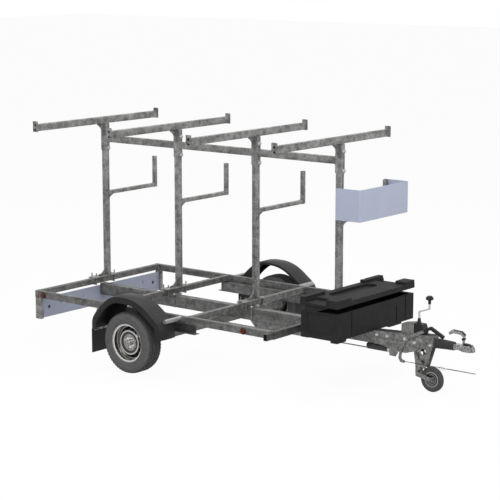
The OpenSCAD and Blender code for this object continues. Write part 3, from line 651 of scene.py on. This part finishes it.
@dataclass
class Studio:
    """Pale floor, white surround and soft lamps."""
    floor_half: float = 60.0
    floor_drop: float = 0.0005
    floor_white: float = 0.94
    glow_low: float = 0.16
    glow_high: float = 0.95
    aim: Point = (0, 0, 0.8)

    def build(self) -> None:
        """Makes floor, world and lamps."""
        bpy.context.scene.view_settings.view_transform = "Standard"
        self.floor()
        self.surround()
        self.lamp("key_lamp", (3.5, -6.5, 7.0), 7.0, 560)
        self.lamp("top_lamp", (-1.0, 1.5, 8.0), 8.0, 420)
        self.lamp("front_lamp", (9.0, 0.5, 4.0), 5.0, 190)

    def floor(self) -> None:
        """Pale floor that looks white and keeps a soft shadow."""
        bm = bmesh.new()
        h = self.floor_half
        bm.faces.new([bm.verts.new((x * h, y * h, -self.floor_drop)) for x, y in SQUARE])
        mesh = bpy.data.meshes.new("studio_floor")
        bm.to_mesh(mesh)
        bm.free()
        made = bpy.data.objects.new("studio_floor", mesh)
        bpy.context.scene.collection.objects.link(made)
        s = Shader("studio_floor")
        tint = s.ramp(s.noise(2), (0.3, (0.58, 0.58, 0.58)), (0.7, (0.62, 0.62, 0.62)))
        s.done(tint, 0.9, 0.0, Specular_IOR_Level=0.0)
        glow = s.node("ShaderNodeEmission", {"Color": (1, 1, 1, 1), "Strength": 1.0})
        path = s.node("ShaderNodeLightPath")
        seen = s.maths("MAXIMUM", path.outputs["Is Camera Ray"], path.outputs["Is Glossy Ray"])
        share = s.maths("MULTIPLY", seen, self.floor_white)
        both = s.node("ShaderNodeMixShader", {0: share, 1: s.bsdf.outputs[0], 2: glow.outputs[0]})
        s.tree.links.new(both.outputs[0], s.tree.nodes["Material Output"].inputs["Surface"])
        mesh.materials.append(s.mat)

    def surround(self) -> None:
        """World that is white where seen or mirrored, and else an overhead glow, dim at the ground."""
        world = bpy.data.worlds.new("studio")
        bpy.context.scene.world = world
        world.use_nodes = True
        nodes, link = world.node_tree.nodes, world.node_tree.links.new
        path = nodes.new("ShaderNodeLightPath")
        apart = nodes.new("ShaderNodeSeparateXYZ")
        link(nodes.new("ShaderNodeTexCoord").outputs["Generated"], apart.inputs[0])
        glow = nodes.new("ShaderNodeMapRange")
        for key, value in ((1, -0.1), (2, 0.9), (3, self.glow_low), (4, self.glow_high)):
            glow.inputs[key].default_value = value
        link(apart.outputs[2], glow.inputs[0])
        seen = path
        for ray in ("Is Camera Ray", "Is Glossy Ray", "Is Transmission Ray"):
            either = nodes.new("ShaderNodeMath")
            either.operation = "MAXIMUM"
            link(path.outputs[ray], either.inputs[0])
            link(seen.outputs[0], either.inputs[1])
            seen = either
        level = nodes.new("ShaderNodeMix")
        link(seen.outputs[0], level.inputs[0])
        link(glow.outputs[0], level.inputs[2])
        level.inputs[3].default_value = 1.0
        back = nodes["Background"]
        back.inputs["Color"].default_value = (1, 1, 1, 1)
        link(level.outputs[0], back.inputs["Strength"])

    def lamp(self, name: str, place: Point, size: float, watts: float) -> None:
        """One soft square lamp that points at the trailer's middle."""
        data = bpy.data.lights.new(name, "AREA")
        data.size, data.energy = size, watts
        made = bpy.data.objects.new(name, data)
        bpy.context.scene.collection.objects.link(made)
        made.location = place
        made.rotation_euler = (Vector(self.aim) - Vector(place)).to_track_quat("-Z", "Y").to_euler()


@dataclass
class BreakawayCable:
    """Stiff coated cable, held straight from the bell crank's foot to the front.

    Sizes are in millimetres, the ferrule's profile in metres.
    """
    start: Point = (2328, -53, 250)
    reach: float = 742
    thick: float = 6
    spans: int = 24
    sleeve: float = 285
    loop_place: float = 395
    loop_long: float = 34
    loop_high: float = 13
    loop_drop: float = 3
    loop_wire: float = 2.2
    ferrule_place: float = 46
    ferrule: Profile = ((0, -0.012), (0.0055, -0.011), (0.0062, -0.004), (0.0062, 0.004), (0.0055, 0.011),
                        (0, 0.012))

    def build(self) -> None:
        x, y, z = self.start
        path = [at(x + self.reach * k / self.spans, y, z) for k in range(self.spans + 1)]
        bm = bmesh.new()
        sweep(bm, path, self.thick / 2000, 10)
        cable = add_piece("breakaway_cord", closed(bm, "cord"), Body.CHASSIS, Finish.CABLE,
                          ("breakaway_cable",))
        loop = self.loop(x + self.loop_place, y, z)
        tip = self.tip(x + self.reach, y, z)

    def loop(self, x: float, y: float, z: float) -> bpy.types.Object:
        """Makes a wire loop round a point of the cable, with a ferrule at both ends."""
        bm = bmesh.new()
        ring = []
        for a in (2 * math.pi * k / self.spans for k in range(self.spans + 1)):
            height = z - self.loop_drop + self.loop_high * math.sin(a)
            ring.append(at(x + self.loop_long * math.cos(a), y, height))
        sweep(bm, ring, self.loop_wire / 1000, 8)
        for shift in (-self.ferrule_place, self.ferrule_place):
            lathe(bm, self.ferrule, Matrix.Translation(at(x + shift, y, z)) @ AHEAD, 16)
        return add_piece("cord_loop", closed(bm, "loop"), Body.CHASSIS, Finish.ZINC)

    def tip(self, x: float, y: float, z: float) -> bpy.types.Object:
        """Makes the sleeve that thickens the cable's front length."""
        bm = bmesh.new()
        back = -self.sleeve / 1000
        profile = ((0, back), (0.0036, back), (0.0048, 0.012 + back), (0.0048, -0.006),
                   (0.004, 0), (0, 0.001))
        lathe(bm, profile, Matrix.Translation(at(x, y, z)) @ AHEAD, 16)
        return add_piece("cord_end_sleeve", closed(bm, "tip"), Body.CHASSIS, Finish.RACK)


@dataclass
class FrameDress:
    """Finishes of the CAD nodes that stay as they are."""

    def dress(self) -> None:
        """Gives every node its material."""
        plan: dict[Finish, str] = {
            Finish.FRAME: "side_rails cross_members centre_beam axle_beam axle_rails",
            Finish.SHADED: "front_cross swing_arms",
            Finish.RACK: "top_beam board_legs",
            Finish.UPRIGHT: "posts head_sleeves arm_uprights",
            Finish.BAR: "cross_bars end_plates side_arms",
            Finish.DRAWBAR: "drawbar overrun_housing brake_lever spindle_box jockey_leg jockey_fork "
                            "foot_bolts flap_strips",
            Finish.CAST: "coupling_head coupling_handle",
            Finish.ZINC: "crank",
            Finish.STAY: "guard_stays brake_rod",
            Finish.BOARD: "front_stop",
            Finish.BOARD_IN_SHADE: "light_board",
            Finish.BOX: "box_tub box_lid",
            Finish.GUARD: "mudguards",
            Finish.GRIP: "lever_grip spindle_block crank_knob",
            Finish.RUBBER: "mud_flaps",
            Finish.BELLOWS: "bellows spring_cylinder",
            Finish.CABLE: "breakaway_cable",
            Finish.WHEEL: "rim_right rim_left",
            Finish.JOCKEY_RIM: "jockey_rim",
            Finish.DRUM: "drum_right drum_left",
            Finish.AMBER: "marker_lamps",
            Finish.RED: "rear_lamps",
            Finish.TYRE_RIGHT: "tyre_right",
            Finish.TYRE_LEFT: "tyre_left",
            Finish.TYRE_JOCKEY: "jockey_tyre",
        }
        for finish, names in plan.items():
            for name in names.split():
                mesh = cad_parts[name].data
                mesh.materials.clear()
                mesh.materials.append(Stock.of(finish))
        LOG.info("%d nodes dressed", sum(len(n.split()) for n in plan.values()))


@dataclass
class Tyre:
    """Road tyre with five rows of tread blocks on a grooved carcass.

    A row's columns are its share of the row pitch, then its turn and its blocks' length
    as shares of a block's pitch. A block's pair is how deep its middle lies and how thick it is,
    as shares of the groove.
    """
    side: int
    body: Body
    finish: Finish
    node: str
    radius: float = AXLE_HEIGHT
    width: float = 0.185
    bead: float = 0.1725
    groove: float = 0.008
    pitches: int = 58
    row_pitch: float = 0.031
    rows: tuple[Point, ...] = ((0.8, 0.0, 0.80), (0.78, 0.35, 0.86), (0.6, 0.7, 0.93), (0.78, 0.35, 0.86),
                               (0.8, 0.0, 0.80))
    slant: float = 0.18
    tilt: float = -0.12
    shoulder_block: tuple[float, float] = (1.0, 1.25)
    middle_block: tuple[float, float] = (0.53, 1.0)

    def build(self) -> None:
        """Makes carcass and tread."""
        self.carcass()
        self.tread()

    def carcass(self) -> None:
        """Lathed body with beads, rim ribs, bulged walls and a flat crown."""
        r, w, b, g = self.radius, self.width / 2, self.bead, self.groove
        half = [(b, w - 0.026), (b + 0.002, w - 0.021), (b + 0.010, w - 0.017), (b + 0.013, w - 0.011),
                (b + 0.017, w - 0.0125), (b + 0.021, w - 0.008), (b + 0.034, w - 0.0025), (b + 0.052, w),
                (b + 0.066, w - 0.0002), (b + 0.069, w + 0.0012), (b + 0.072, w + 0.0012),
                (b + 0.075, w - 0.0012), (b + 0.09, w - 0.0045), (r - 0.017, w - 0.010),
                (r - g - 0.005, w - 0.020), (r - g, w - 0.030), (r - g + 0.0015, 0.0)]
        bm = bmesh.new()
        lathe(bm, tuple(half + [(q, -h) for q, h in half[-2::-1]]), wheel_place(self.side), 96)
        add_piece(f"{self.node}_carcass", closed(bm, "carcass"), self.body, self.finish,
                  (self.node,))

    def tread(self) -> None:
        """Rows of blocks by Geometry Nodes, each row turned by a part of a pitch."""
        tree = NodeTree("tread_blocks", pitches=self.pitches, radius=self.radius, depth=self.groove,
                        row=self.row_pitch)
        middle = len(self.rows) // 2
        rings = [self.row(tree, i - middle, *columns) for i, columns in enumerate(self.rows)]
        tree.end(tree.joined(*rings), Finish.TREAD)
        mesh = tree.run(bpy.data.meshes.new("seed"), pitches=self.pitches, radius=self.radius)
        mesh.transform(wheel_place(self.side))
        add_piece(f"{self.node}_tread", mesh, self.body, None, smooth=None)

    def row(self, tree: NodeTree, place: int, wide: float, turn: float,
            filled: float) -> bpy.types.NodeSocket:
        """Adds one ring of blocks, deeper and tilted at the shoulders.

        Args:
            tree: the tree that gets the nodes.
            place: the row's place, counted from the middle.
            wide: its share of the row pitch.
            turn: its turn as a share of a block's pitch.
            filled: its blocks' length as a share of their pitch.

        Returns:
            The ring's geometry.
        """
        shoulder = abs(place) == len(self.rows) // 2
        sink, thick = self.shoulder_block if shoulder else self.middle_block
        radius, depth, pitches = tree.size("radius"), tree.size("depth"), tree.size("pitches")
        line = tree.maths("SUBTRACT", radius, tree.maths("MULTIPLY", depth, sink))
        circle = tree.out("GeometryNodeMeshCircle", {"Vertices": pitches, "Radius": line})
        length = tree.maths("MULTIPLY", tree.maths("DIVIDE", radius, pitches), FULL_TURN * filled)
        size = tree.vector(tree.maths("MULTIPLY", depth, thick), length,
                           tree.maths("MULTIPLY", tree.size("row"), wide))
        grid = {"Size": size, "Vertices X": 2, "Vertices Y": 3, "Vertices Z": 2}
        block = tree.out("GeometryNodeMeshCube", grid)
        leaning = (self.slant * place, self.tilt * place if shoulder else 0, 0)
        block = tree.out("GeometryNodeTransform", {"Geometry": block, "Rotation": leaning})
        outward = tree.out("GeometryNodeInputPosition")
        facing = tree.out("FunctionNodeAlignRotationToVector", {"Vector": outward}, axis="X", pivot_axis="Z")
        spots = {"Points": circle, "Instance": block, "Rotation": facing}
        ring = tree.out("GeometryNodeInstanceOnPoints", spots)
        turned = (0, 0, turn * FULL_TURN / self.pitches)
        shift = tree.vector(0.0, 0.0, tree.maths("MULTIPLY", tree.size("row"), float(place)))
        return tree.out("GeometryNodeTransform", {"Geometry": ring, "Rotation": turned, "Translation": shift})


@dataclass(frozen=True)
class Fastener:
    """One bolt: its seat, the way it points and its thread size in metres."""
    seat: Vector
    axis: Vector
    thread: float = 0.012


@dataclass
class Fasteners:
    """Hex nuts on washers, made by one tree for each body; sizes in thread diameters.

    Washer and corner are radii as shares of the width over flats, the hexagon is a share of the
    nut's height, and the crown a share of the corner's radius.
    """
    flats: float = 1.62
    height: float = 0.8
    stub: float = 0.45
    washer: float = 0.2
    washer_share: float = 0.66
    corner_share: float = 0.577
    hex_share: float = 0.86
    crown_share: float = 0.87
    end_radius: float = 0.48

    def tree(self) -> NodeTree:
        """Tree that sets washer, chamfered hexagon and thread end on each point."""
        t = NodeTree("hex_fasteners", flats=self.flats, height=self.height, stub=self.stub)
        round_r = t.maths("MULTIPLY", t.size("flats"), self.washer_share)
        hex_r = t.maths("MULTIPLY", t.size("flats"), self.corner_share)
        h, stub = t.size("height"), t.size("stub")
        washer = t.disc(20, round_r, self.washer, self.washer / 2)
        nut_lift = t.maths("ADD", t.maths("MULTIPLY", h, self.hex_share / 2), self.washer)
        nut = t.disc(6, hex_r, t.maths("MULTIPLY", h, self.hex_share), nut_lift)
        crown_lift = t.maths("ADD", t.maths("MULTIPLY", h, 0.5), self.washer)
        crown = t.disc(18, t.maths("MULTIPLY", hex_r, self.crown_share), h, crown_lift)
        end = t.disc(14, self.end_radius, stub, t.maths("ADD", h, t.maths("MULTIPLY", stub, 0.5)))
        axis = t.out("GeometryNodeInputNamedAttribute", {"Name": "axis"}, data_type="FLOAT_VECTOR")
        thread = t.out("GeometryNodeInputNamedAttribute", {"Name": "thread"}, data_type="FLOAT")
        facing = t.out("FunctionNodeAlignRotationToVector", {"Vector": axis}, axis="Z")
        spot = t.out("GeometryNodeInstanceOnPoints", {
            "Points": t.size("Geometry"), "Instance": t.joined(washer, nut, crown, end),
            "Rotation": facing, "Scale": t.vector(thread, thread, thread)})
        t.end(spot, Finish.ZINC)
        return t

    def build(self, name: str, body: Body, items: list[Fastener]) -> None:
        """Makes all fasteners of one body.

        Args:
            name: the piece's name.
            body: the body that they ride on.
            items: the fasteners.
        """
        seeds = bpy.data.meshes.new("seats")
        seeds.from_pydata([f.seat for f in items], [], [])
        seeds.attributes.new("axis", "FLOAT_VECTOR", "POINT")
        seeds.attributes.new("thread", "FLOAT", "POINT")
        for i, f in enumerate(items):
            seeds.attributes["axis"].data[i].vector = f.axis
            seeds.attributes["thread"].data[i].value = f.thread
        mesh = self.tree().run(seeds, flats=self.flats, height=self.height, stub=self.stub)
        add_piece(name, mesh, body, None, smooth=None)


@dataclass
class ChassisBolts:
    """Seats of the chassis' bolts in millimetres, and threads in metres.

    A housing bolt is its place along and its height.
    """
    feet: tuple[float, ...] = (-96, 174)
    foot_half: float = 31.5
    sleeve_face: float = 40
    sleeve_heights: tuple[float, ...] = (2085, 1903)
    sleeve_thread: float = 0.018
    beam_places: tuple[float, ...] = (-420, 565)
    beam_half: float = 46.5
    beam_top: float = 510
    housing: tuple[tuple[float, float], ...] = ((2022, 455), (2136, 455), (2430, 437), (2593, 437))
    housing_half: float = 45
    housing_thread: float = 0.014
    lever: Point = (2339, -64, 464)
    lever_thread: float = 0.016
    flap: Point = (-426, 1115, 362)
    flap_pitch: float = 70
    flap_thread: float = 0.008

    def items(self) -> list[Fastener]:
        """Fasteners of feet, sleeves, beam, housing, bell crank and mud flaps."""
        up, right, front = Vector((0, 0, 1)), Vector((0, -1, 0)), Vector((1, 0, 0))
        made = []
        for x in POSTS:
            made += [Fastener(at(x + k * self.foot_half, y, FOOT_TOP), up)
                     for k in (-1, 1) for y in self.feet]
            made += [Fastener(at(x + self.sleeve_face, POST_LINE, z), front, self.sleeve_thread)
                     for z in self.sleeve_heights]
        for x in self.beam_places:
            made += [Fastener(at(x, k * self.beam_half, self.beam_top), up) for k in (-1, 1)]
        for x, z in self.housing:
            made += [Fastener(at(x, -self.housing_half, z), right, self.housing_thread),
                     Fastener(at(x, self.housing_half, z), -right, self.housing_thread)]
        made.append(Fastener(at(*self.lever), right, self.lever_thread))
        x, y, z = self.flap
        for side in (-1, 1):
            made += [Fastener(at(x, side * (y + k * self.flap_pitch), z), front, self.flap_thread)
                     for k in (-1, 0, 1)]
        return made


@dataclass
class WheelBolts:
    """Ring of bolts on a road wheel's disc; sizes in millimetres."""
    side: int
    circle: float = 56
    face: float = 1168
    height: float = 292
    count: int = 5

    def items(self) -> list[Fastener]:
        """Fasteners of the wheel, the first at the top."""
        out = Vector((0, self.side, 0))
        made = []
        for a in (math.radians(90 + 360 / self.count * k) for k in range(self.count)):
            ahead, up = self.circle * math.cos(a), self.circle * math.sin(a)
            seat = at(ahead, self.side * self.face, self.height + up)
            made.append(Fastener(seat, out))
        return made


@dataclass
class Guards:
    """Arched guards of one smooth sheet: raised middle, outer skirt and an inner lip, deep at the rear."""
    middle: float = 1115.4
    half: float = 110
    sheet: float = 6
    wall: float = 5
    edge: float = 9
    chamfer: float = 3
    raised: float = 0.6
    rise: float = 5
    skirt: float = 54
    lip_low: float = 20
    lip_gain: float = 170
    lip_start: float = -120
    lip_run: float = 240
    bend: float = 400
    arch: Profile = ((-432, 373), (-432, 473), (-345.6, 585), (-185.8, 718), (128.7, 718), (415, 503),
                     (415, 373))

    def section(self, lip: float) -> list[tuple[float, float]]:
        """Closed section as distances across, outward positive, and away from the wheel."""
        w, t, e, c = self.half, self.sheet, self.edge, self.chamfer
        m, top, inner = self.raised * w, t + self.rise, w - self.wall
        over = [(w, -self.skirt), (w, t - e), (w - c, t - c), (w - e, t), (m + e, t), (m, top)]
        back = [(-m, top), (-m - e, t), (e - w, t), (c - w, t - c), (-w, t - e), (-w, -lip)]
        return over + back + [(-inner, -lip), (-inner, 0), (inner, 0), (inner, -self.skirt)]

    def build(self) -> None:
        """Sweeps the section along the arch on both sides."""
        line = rounded_path([Vector((x, 0, z)) for x, z in self.arch], self.bend, 10)
        bm = bmesh.new()
        for side in (-1, 1):
            rings = []
            for i, p in enumerate(line):
                along = (line[min(i + 1, len(line) - 1)] - line[max(i - 1, 0)]).normalized()
                out = Vector((-along.z, 0, along.x))
                lip = self.lip_low + self.lip_gain * max(0.0, min(1.0, (self.lip_start - p.x) / self.lip_run))
                rings.append([bm.verts.new(at(*(p + out * d + Vector((0, side * (self.middle + y), 0)))))
                              for y, d in self.section(lip)])
            for one, two in zip(rings, rings[1:]):
                for k in range(len(one)):
                    j = (k + 1) % len(one)
                    bm.faces.new((one[k], one[j], two[j], two[k]))
            bm.faces.new(rings[0])
            bm.faces.new(rings[-1][::-1])
        add_piece("mudguard_shells", closed(bm, "guards"), Body.CHASSIS, Finish.GUARD,
                  ("mudguards",), smooth=30)


@dataclass
class Gussets:
    """Webs with a shallow curve at the posts' feet, heads and side arms, and a thin black sheet on the
    housing's top as painted shade.

    A web's columns are its corner, across and up, and its legs' lengths with their signs.
    """
    half: float = 5.6
    bend: float = 0.3
    nose: float = 0.08
    webs: tuple[Profile, ...] = (((84, 570), (-108.5, 87.5)), ((79, 2152), (-91, -129.5)),
                                 ((124, 1410), (76, -84)))
    sheet: tuple[Point, ...] = ((1992, -45, 489.2), (2624, -45, 524), (2624, 45, 524), (1992, 45, 489.2))
    sheet_thick: float = 0.0015

    def build(self) -> None:
        """Makes webs and sheet."""
        bm = bmesh.new()
        for x in POSTS:
            for corner, legs in self.webs:
                self.web(bm, x, corner, legs)
        add_piece("gusset_webs", closed(bm, "webs"), Body.CHASSIS, Finish.DRAWBAR)
        # Painted shade: a thin black sheet on the housing's top that darkens it.
        bm = bmesh.new()
        slab(bm, [at(*p) for p in self.sheet], Vector((0, 0, self.sheet_thick)))
        add_piece("housing_top_shade", closed(bm, "sheet"), Body.CHASSIS, Finish.RUBBER)

    def web(self, bm: bmesh.types.BMesh, x: float, corner: tuple[float, float],
            legs: tuple[float, float]) -> None:
        """One web in the plane across the trailer, its long side drawn to the corner.

        Args:
            bm: the mesh that gets the faces.
            x: its place along the trailer.
            corner: where its two legs meet, across and up.
            legs: the legs' lengths with their signs.
        """
        (y, z), (l, h) = corner, legs
        a, b = (y + l, z + h * self.nose), (y + l * self.bend, z + h * self.bend)
        c = (y + l * self.nose, z + h)
        curve = []
        for t in (k / 8 for k in range(9)):
            curve.append(tuple((1 - t) ** 2 * a[i] + 2 * t * (1 - t) * b[i] + t * t * c[i] for i in (0, 1)))
        ring = [(y, z), (y + l, z)] + curve + [(y, z + h)]
        slab(bm, [at(x - self.half, p, q) for p, q in ring], Vector((2 * self.half / 1000, 0, 0)))


@dataclass
class ShadeDiscs:
    """Black discs of painted shade inside the cross bars' open ends and in the light board's round holes."""
    bar_end: float = 886
    bar_height: float = 2187
    bar_half: tuple[float, float] = (15.5, 30.5)
    bar_depth: float = 0.002
    board_hole: Point = (-1455, 785, 377)
    board_hole_shade: Profile = ((0, 0), (0.0166, 0), (0.0166, 0.011), (0, 0.011))

    def build(self) -> None:
        """Makes the discs."""
        bm = bmesh.new()
        wide, high = self.bar_half
        for side in (-1, 1):
            for x in POSTS:
                ring = [(x + a * wide, self.bar_height + b * high) for a, b in SQUARE]
                face = [at(p, side * self.bar_end, q) for p, q in ring]
                # Painted shade: a black disc inside each open bar end.
                slab(bm, face, Vector((0, side * self.bar_depth, 0)))
            x, y, z = self.board_hole
            # Painted shade: a black disc in each of the light board's holes.
            lathe(bm, self.board_hole_shade, Matrix.Translation(at(x, side * y, z)) @ AHEAD, 32)
        add_piece("painted_shade_discs", closed(bm, "shade_disc_mesh"), Body.CHASSIS, Finish.GRIP)


@dataclass
class VentShade:
    """Dark ring inside each wheel, behind the vents."""
    side: int
    body: Body
    ring: Profile = ((0.075, 0.0), (0.150, 0.0), (0.150, 0.002), (0.075, 0.002))

    def build(self) -> None:
        """Makes the ring."""
        bm = bmesh.new()
        lathe(bm, self.ring, wheel_place(self.side), 64)
        name = f"{self.body.value}_vent_shade"
        add_piece(name, closed(bm, "shade"), self.body, Finish.GRIP)


@dataclass
class Welds:
    """Rippled weld beads along the frame's joints; bead sizes in metres, places in millimetres."""
    pitch: float = 0.007
    bead: float = 0.0042
    bead_sizes: tuple[float, float] = (0.8, 1.15)
    seed: int = 7
    foot_half: tuple[float, float] = (35, 20)
    head_half: tuple[float, float] = (20, 25)
    head: float = 2152
    tube: float = 20
    arm: float = 1430
    arm_ends: tuple[float, float] = (124, 845)
    bar: float = 2187
    bar_end: float = 890
    deep: float = 35
    beam: float = 1996
    beam_face: float = 40
    member_half: tuple[float, float] = (25, 30)
    member: float = 530
    member_end: float = 885

    def loops(self) -> list[list[Vector]]:
        """Closed lines round the feet, heads, arms, beams and bars."""
        made = []
        last = len(POSTS) - 1
        for i, x in enumerate(POSTS):
            (u, v), (p, q), (m, n) = self.foot_half, self.head_half, self.member_half
            made.append([at(x + a * u, POST_LINE + b * v, FOOT_TOP) for a, b in SQUARE])
            made.append([at(x + a * p, POST_LINE + b * q, self.head) for a, b in SQUARE])
            for y in self.arm_ends:
                made.append([at(x + a * self.tube, y, self.arm + b * self.tube) for a, b in SQUARE])
            for y in (-self.bar_end, self.bar_end):
                made.append([at(x + a * self.tube, y, self.bar + b * self.deep) for a, b in SQUARE])
            for face in (x + k * self.beam_face for k in (-1, 1) if 0 <= i + k <= last):
                made.append([at(face, POST_LINE + a * self.tube, self.beam + b * self.deep)
                             for a, b in SQUARE])
            if i < last:
                for y in (-self.member_end, self.member_end):
                    made.append([at(x + a * m, y, self.member + b * n) for a, b in SQUARE])
        return made

    def build(self) -> None:
        """Makes the beads by Geometry Nodes from the lines."""
        t = NodeTree("weld_beads", pitch=self.pitch, bead=self.bead)
        line = t.out("GeometryNodeMeshToCurve", {0: t.size("Geometry")})
        dots = t.node("GeometryNodeCurveToPoints", {"Curve": line, "Length": t.size("pitch")}, mode="LENGTH")
        drop = t.out("GeometryNodeMeshUVSphere", {"Segments": 8, "Rings": 5, "Radius": t.size("bead")})
        low, high = self.bead_sizes
        spread = {2: low, 3: high, "Seed": self.seed}
        size = t.node("FunctionNodeRandomValue", spread, data_type="FLOAT").outputs[1]
        beads = t.out("GeometryNodeInstanceOnPoints", {
            "Points": dots.outputs[0], "Instance": drop, "Rotation": dots.outputs[3],
            "Scale": t.vector(size, size, size)})
        t.end(beads, Finish.RACK)
        points, edges = [], []
        for loop in self.loops():
            first = len(points)
            points += loop
            edges += [(first + k, first + (k + 1) % len(loop)) for k in range(len(loop))]
        seeds = bpy.data.meshes.new("weld_lines")
        seeds.from_pydata(points, edges, [])
        mesh = t.run(seeds, pitch=self.pitch, bead=self.bead)
        add_piece("weld_beads", mesh, Body.CHASSIS, None, smooth=60)


@dataclass
class LampTrim:
    """Dark bezels of the side lamps and the fields of the rear clusters; places in millimetres."""
    side_lamps: tuple[float, float] = (-1381, 1160)
    side_face: float = 925
    side_height: float = 520.8
    bezel: float = 0.0295
    cluster: float = 672.6
    cluster_height: float = 377
    field_pitch: float = 64
    field_half: tuple[float, float] = (29, 47)
    field_cut: float = 6
    field_steps: tuple[tuple[float, float], ...] = ((-1497.5, 0.0), (-1499.0, -4.0))
    field_thick: float = 0.0035

    def build(self) -> None:
        """Makes bezels and fields."""
        b = self.bezel
        ring = ((b - 0.0042, 0.003), (b + 0.001, 0.0), (b + 0.0015, 0.006), (b - 0.001, 0.0095),
                (b - 0.0042, 0.009))
        bm = bmesh.new()
        for side in (-1, 1):
            turn = Matrix.Rotation(-side * math.pi / 2, 4, "X")
            for x in self.side_lamps:
                lathe(bm, ring, Matrix.Translation(at(x, side * self.side_face, self.side_height)) @ turn, 40)
        add_piece("side_lamp_bezels", closed(bm, "bezels"), Body.CHASSIS, Finish.GRIP)
        lenses = (("amber", Slot.AMBER, Finish.AMBER), ("red", Slot.RED_LENS, Finish.RED),
                  ("clear", Slot.SILVER, Finish.CLEAR))
        for k, (name, slot, finish) in enumerate(lenses):
            bm = bmesh.new()
            for side in (-1, 1):
                self.field(bm, side * (self.cluster + self.field_pitch * (1 - k)))
            add_piece(f"rear_lamp_{name}", closed(bm, name), Body.CHASSIS, finish)

    def field(self, bm: bmesh.types.BMesh, y: float) -> None:
        """One flat lens with cut corners on the back of a cluster, in two steps.

        Args:
            bm: the mesh that gets the faces.
            y: its middle in millimetres.
        """
        cut = self.field_cut
        for rear, grow in self.field_steps:
            w, h = (half + grow for half in self.field_half)
            ring = [(w - cut, -h), (w, cut - h), (w, h - cut), (w - cut, h), (cut - w, h), (-w, h - cut),
                    (-w, cut - h), (cut - w, -h)]
            face = [at(rear, y + a, self.cluster_height + c) for a, c in ring]
            slab(bm, face, Vector((self.field_thick, 0, 0)))


@dataclass
class TowGear:
    """Boot, covers, flanks, knob and caps of the crank, the coupling, the jockey leg and the gas spring.

    Places and side views are in millimetres, turned profiles in metres.
    """
    crank: Point = (2445, 0, 610)
    boot: Profile = ((0, -0.001), (0.0215, -0.001), (0.0205, 0.008), (0.0182, 0.011), (0.0168, 0.02),
                     (0.0128, 0.046), (0.009, 0.05), (0, 0.05))
    pivot: Point = (2911, 0, 532)
    pivot_cap: Profile = ((0, -0.019), (0.012, -0.019), (0.013, -0.016), (0.013, 0.016), (0.012, 0.019),
                          (0, 0.019))
    handle_top: Profile = ((2925, 566), (2890, 592), (2800, 597), (2764, 571), (2761, 575), (2799, 603),
                           (2892, 598), (2929, 570))
    handle_top_half: float = 15
    head_top: Profile = ((2922, 481), (2926, 495), (2966, 493), (2994, 470), (2988, 467), (2976, 481))
    head_top_half: float = 17
    flank: Profile = ((2762, 574), (2799, 600), (2891, 595), (2924, 569), (2912, 550), (2884, 570),
                      (2804, 574), (2773, 553))
    flank_sides: tuple[float, float] = (-16.5, 14)
    flank_thick: float = 0.0025
    knob: Point = (2477, -34, 180)
    knob_turned: Profile = ((0, 0), (0.009, 0), (0.011, 0.004), (0.011, 0.012), (0.008, 0.017), (0, 0.018))
    spring_rear: Point = (1894, 0, 331.1)
    spring_cap: Profile = ((0, -0.013), (0.010, -0.013), (0.016, -0.010), (0.018, -0.002), (0.018, 0.004),
                           (0, 0.004))
    spring_front: Point = (2126, 0, 331.1)
    spring_band: Profile = ((0.030, 0), (0.0352, 0.001), (0.0356, 0.004), (0.0356, 0.022), (0.030, 0.026))
    spring_eye: Profile = ((2158, 318), (2158, 346), (2176, 344), (2182, 334), (2176, 322))
    spring_eye_half: float = 24

    def build(self) -> None:
        """Makes the black and the bright pieces."""
        bm = bmesh.new()
        lathe(bm, self.boot, Matrix.Translation(at(*self.crank)), 32)
        lathe(bm, self.pivot_cap, Matrix.Translation(at(*self.pivot)) @ ACROSS, 28)
        self.plate(bm, self.handle_top, self.handle_top_half)
        self.plate(bm, self.head_top, self.head_top_half)
        add_piece("tow_gear_covers", closed(bm, "covers"), Body.CHASSIS, Finish.GRIP)
        bm = bmesh.new()
        for y in self.flank_sides:
            slab(bm, [at(x, y, z) for x, z in self.flank], Vector((0, self.flank_thick, 0)))
        add_piece("handle_flanks", closed(bm, "flanks"), Body.CHASSIS, Finish.CAST)
        bm = bmesh.new()
        lathe(bm, self.knob_turned, Matrix.Translation(at(*self.knob)) @ ACROSS, 24)
        add_piece("leg_knob", closed(bm, "knob"), Body.LEG, Finish.GRIP)
        bm = bmesh.new()
        lathe(bm, self.spring_cap, Matrix.Translation(at(*self.spring_rear)) @ AHEAD, 32)
        lathe(bm, self.spring_band, Matrix.Translation(at(*self.spring_front)) @ AHEAD, 48)
        self.plate(bm, self.spring_eye, self.spring_eye_half)
        add_piece("spring_ends", closed(bm, "ends"), Body.CHASSIS, Finish.ZINC)

    def plate(self, bm: bmesh.types.BMesh, side_view: Profile, half: float) -> None:
        """Plate across the middle, from its side view and half its width in millimetres."""
        slab(bm, [at(x, -half, z) for x, z in side_view], Vector((0, 2 * half / 1000, 0)))


def main() -> None:
    """Builds the trailer's looks in order."""
    logging.basicConfig(level=logging.INFO, format="%(name)s: %(message)s")
    PhotoCamera().build()
    BreakawayCable().build()
    Studio().build()
    FrameDress().dress()
    Tyre(-1, Body.WHEEL_RIGHT, Finish.TYRE_RIGHT, "tyre_right").build()
    Tyre(1, Body.WHEEL_LEFT, Finish.TYRE_LEFT, "tyre_left").build()
    Fasteners().build("chassis_bolts", Body.CHASSIS, ChassisBolts().items())
    wheel_nuts = Fasteners(flats=1.7, height=0.9, stub=0.2)
    for side, body in ((-1, Body.WHEEL_RIGHT), (1, Body.WHEEL_LEFT)):
        VentShade(side, body).build()
        wheel_nuts.build(f"{body.value}_bolts", body, WheelBolts(side).items())
    Guards().build()
    Gussets().build()
    ShadeDiscs().build()
    Welds().build()
    LampTrim().build()
    TowGear().build()


if __name__ == "__main__":
    main()
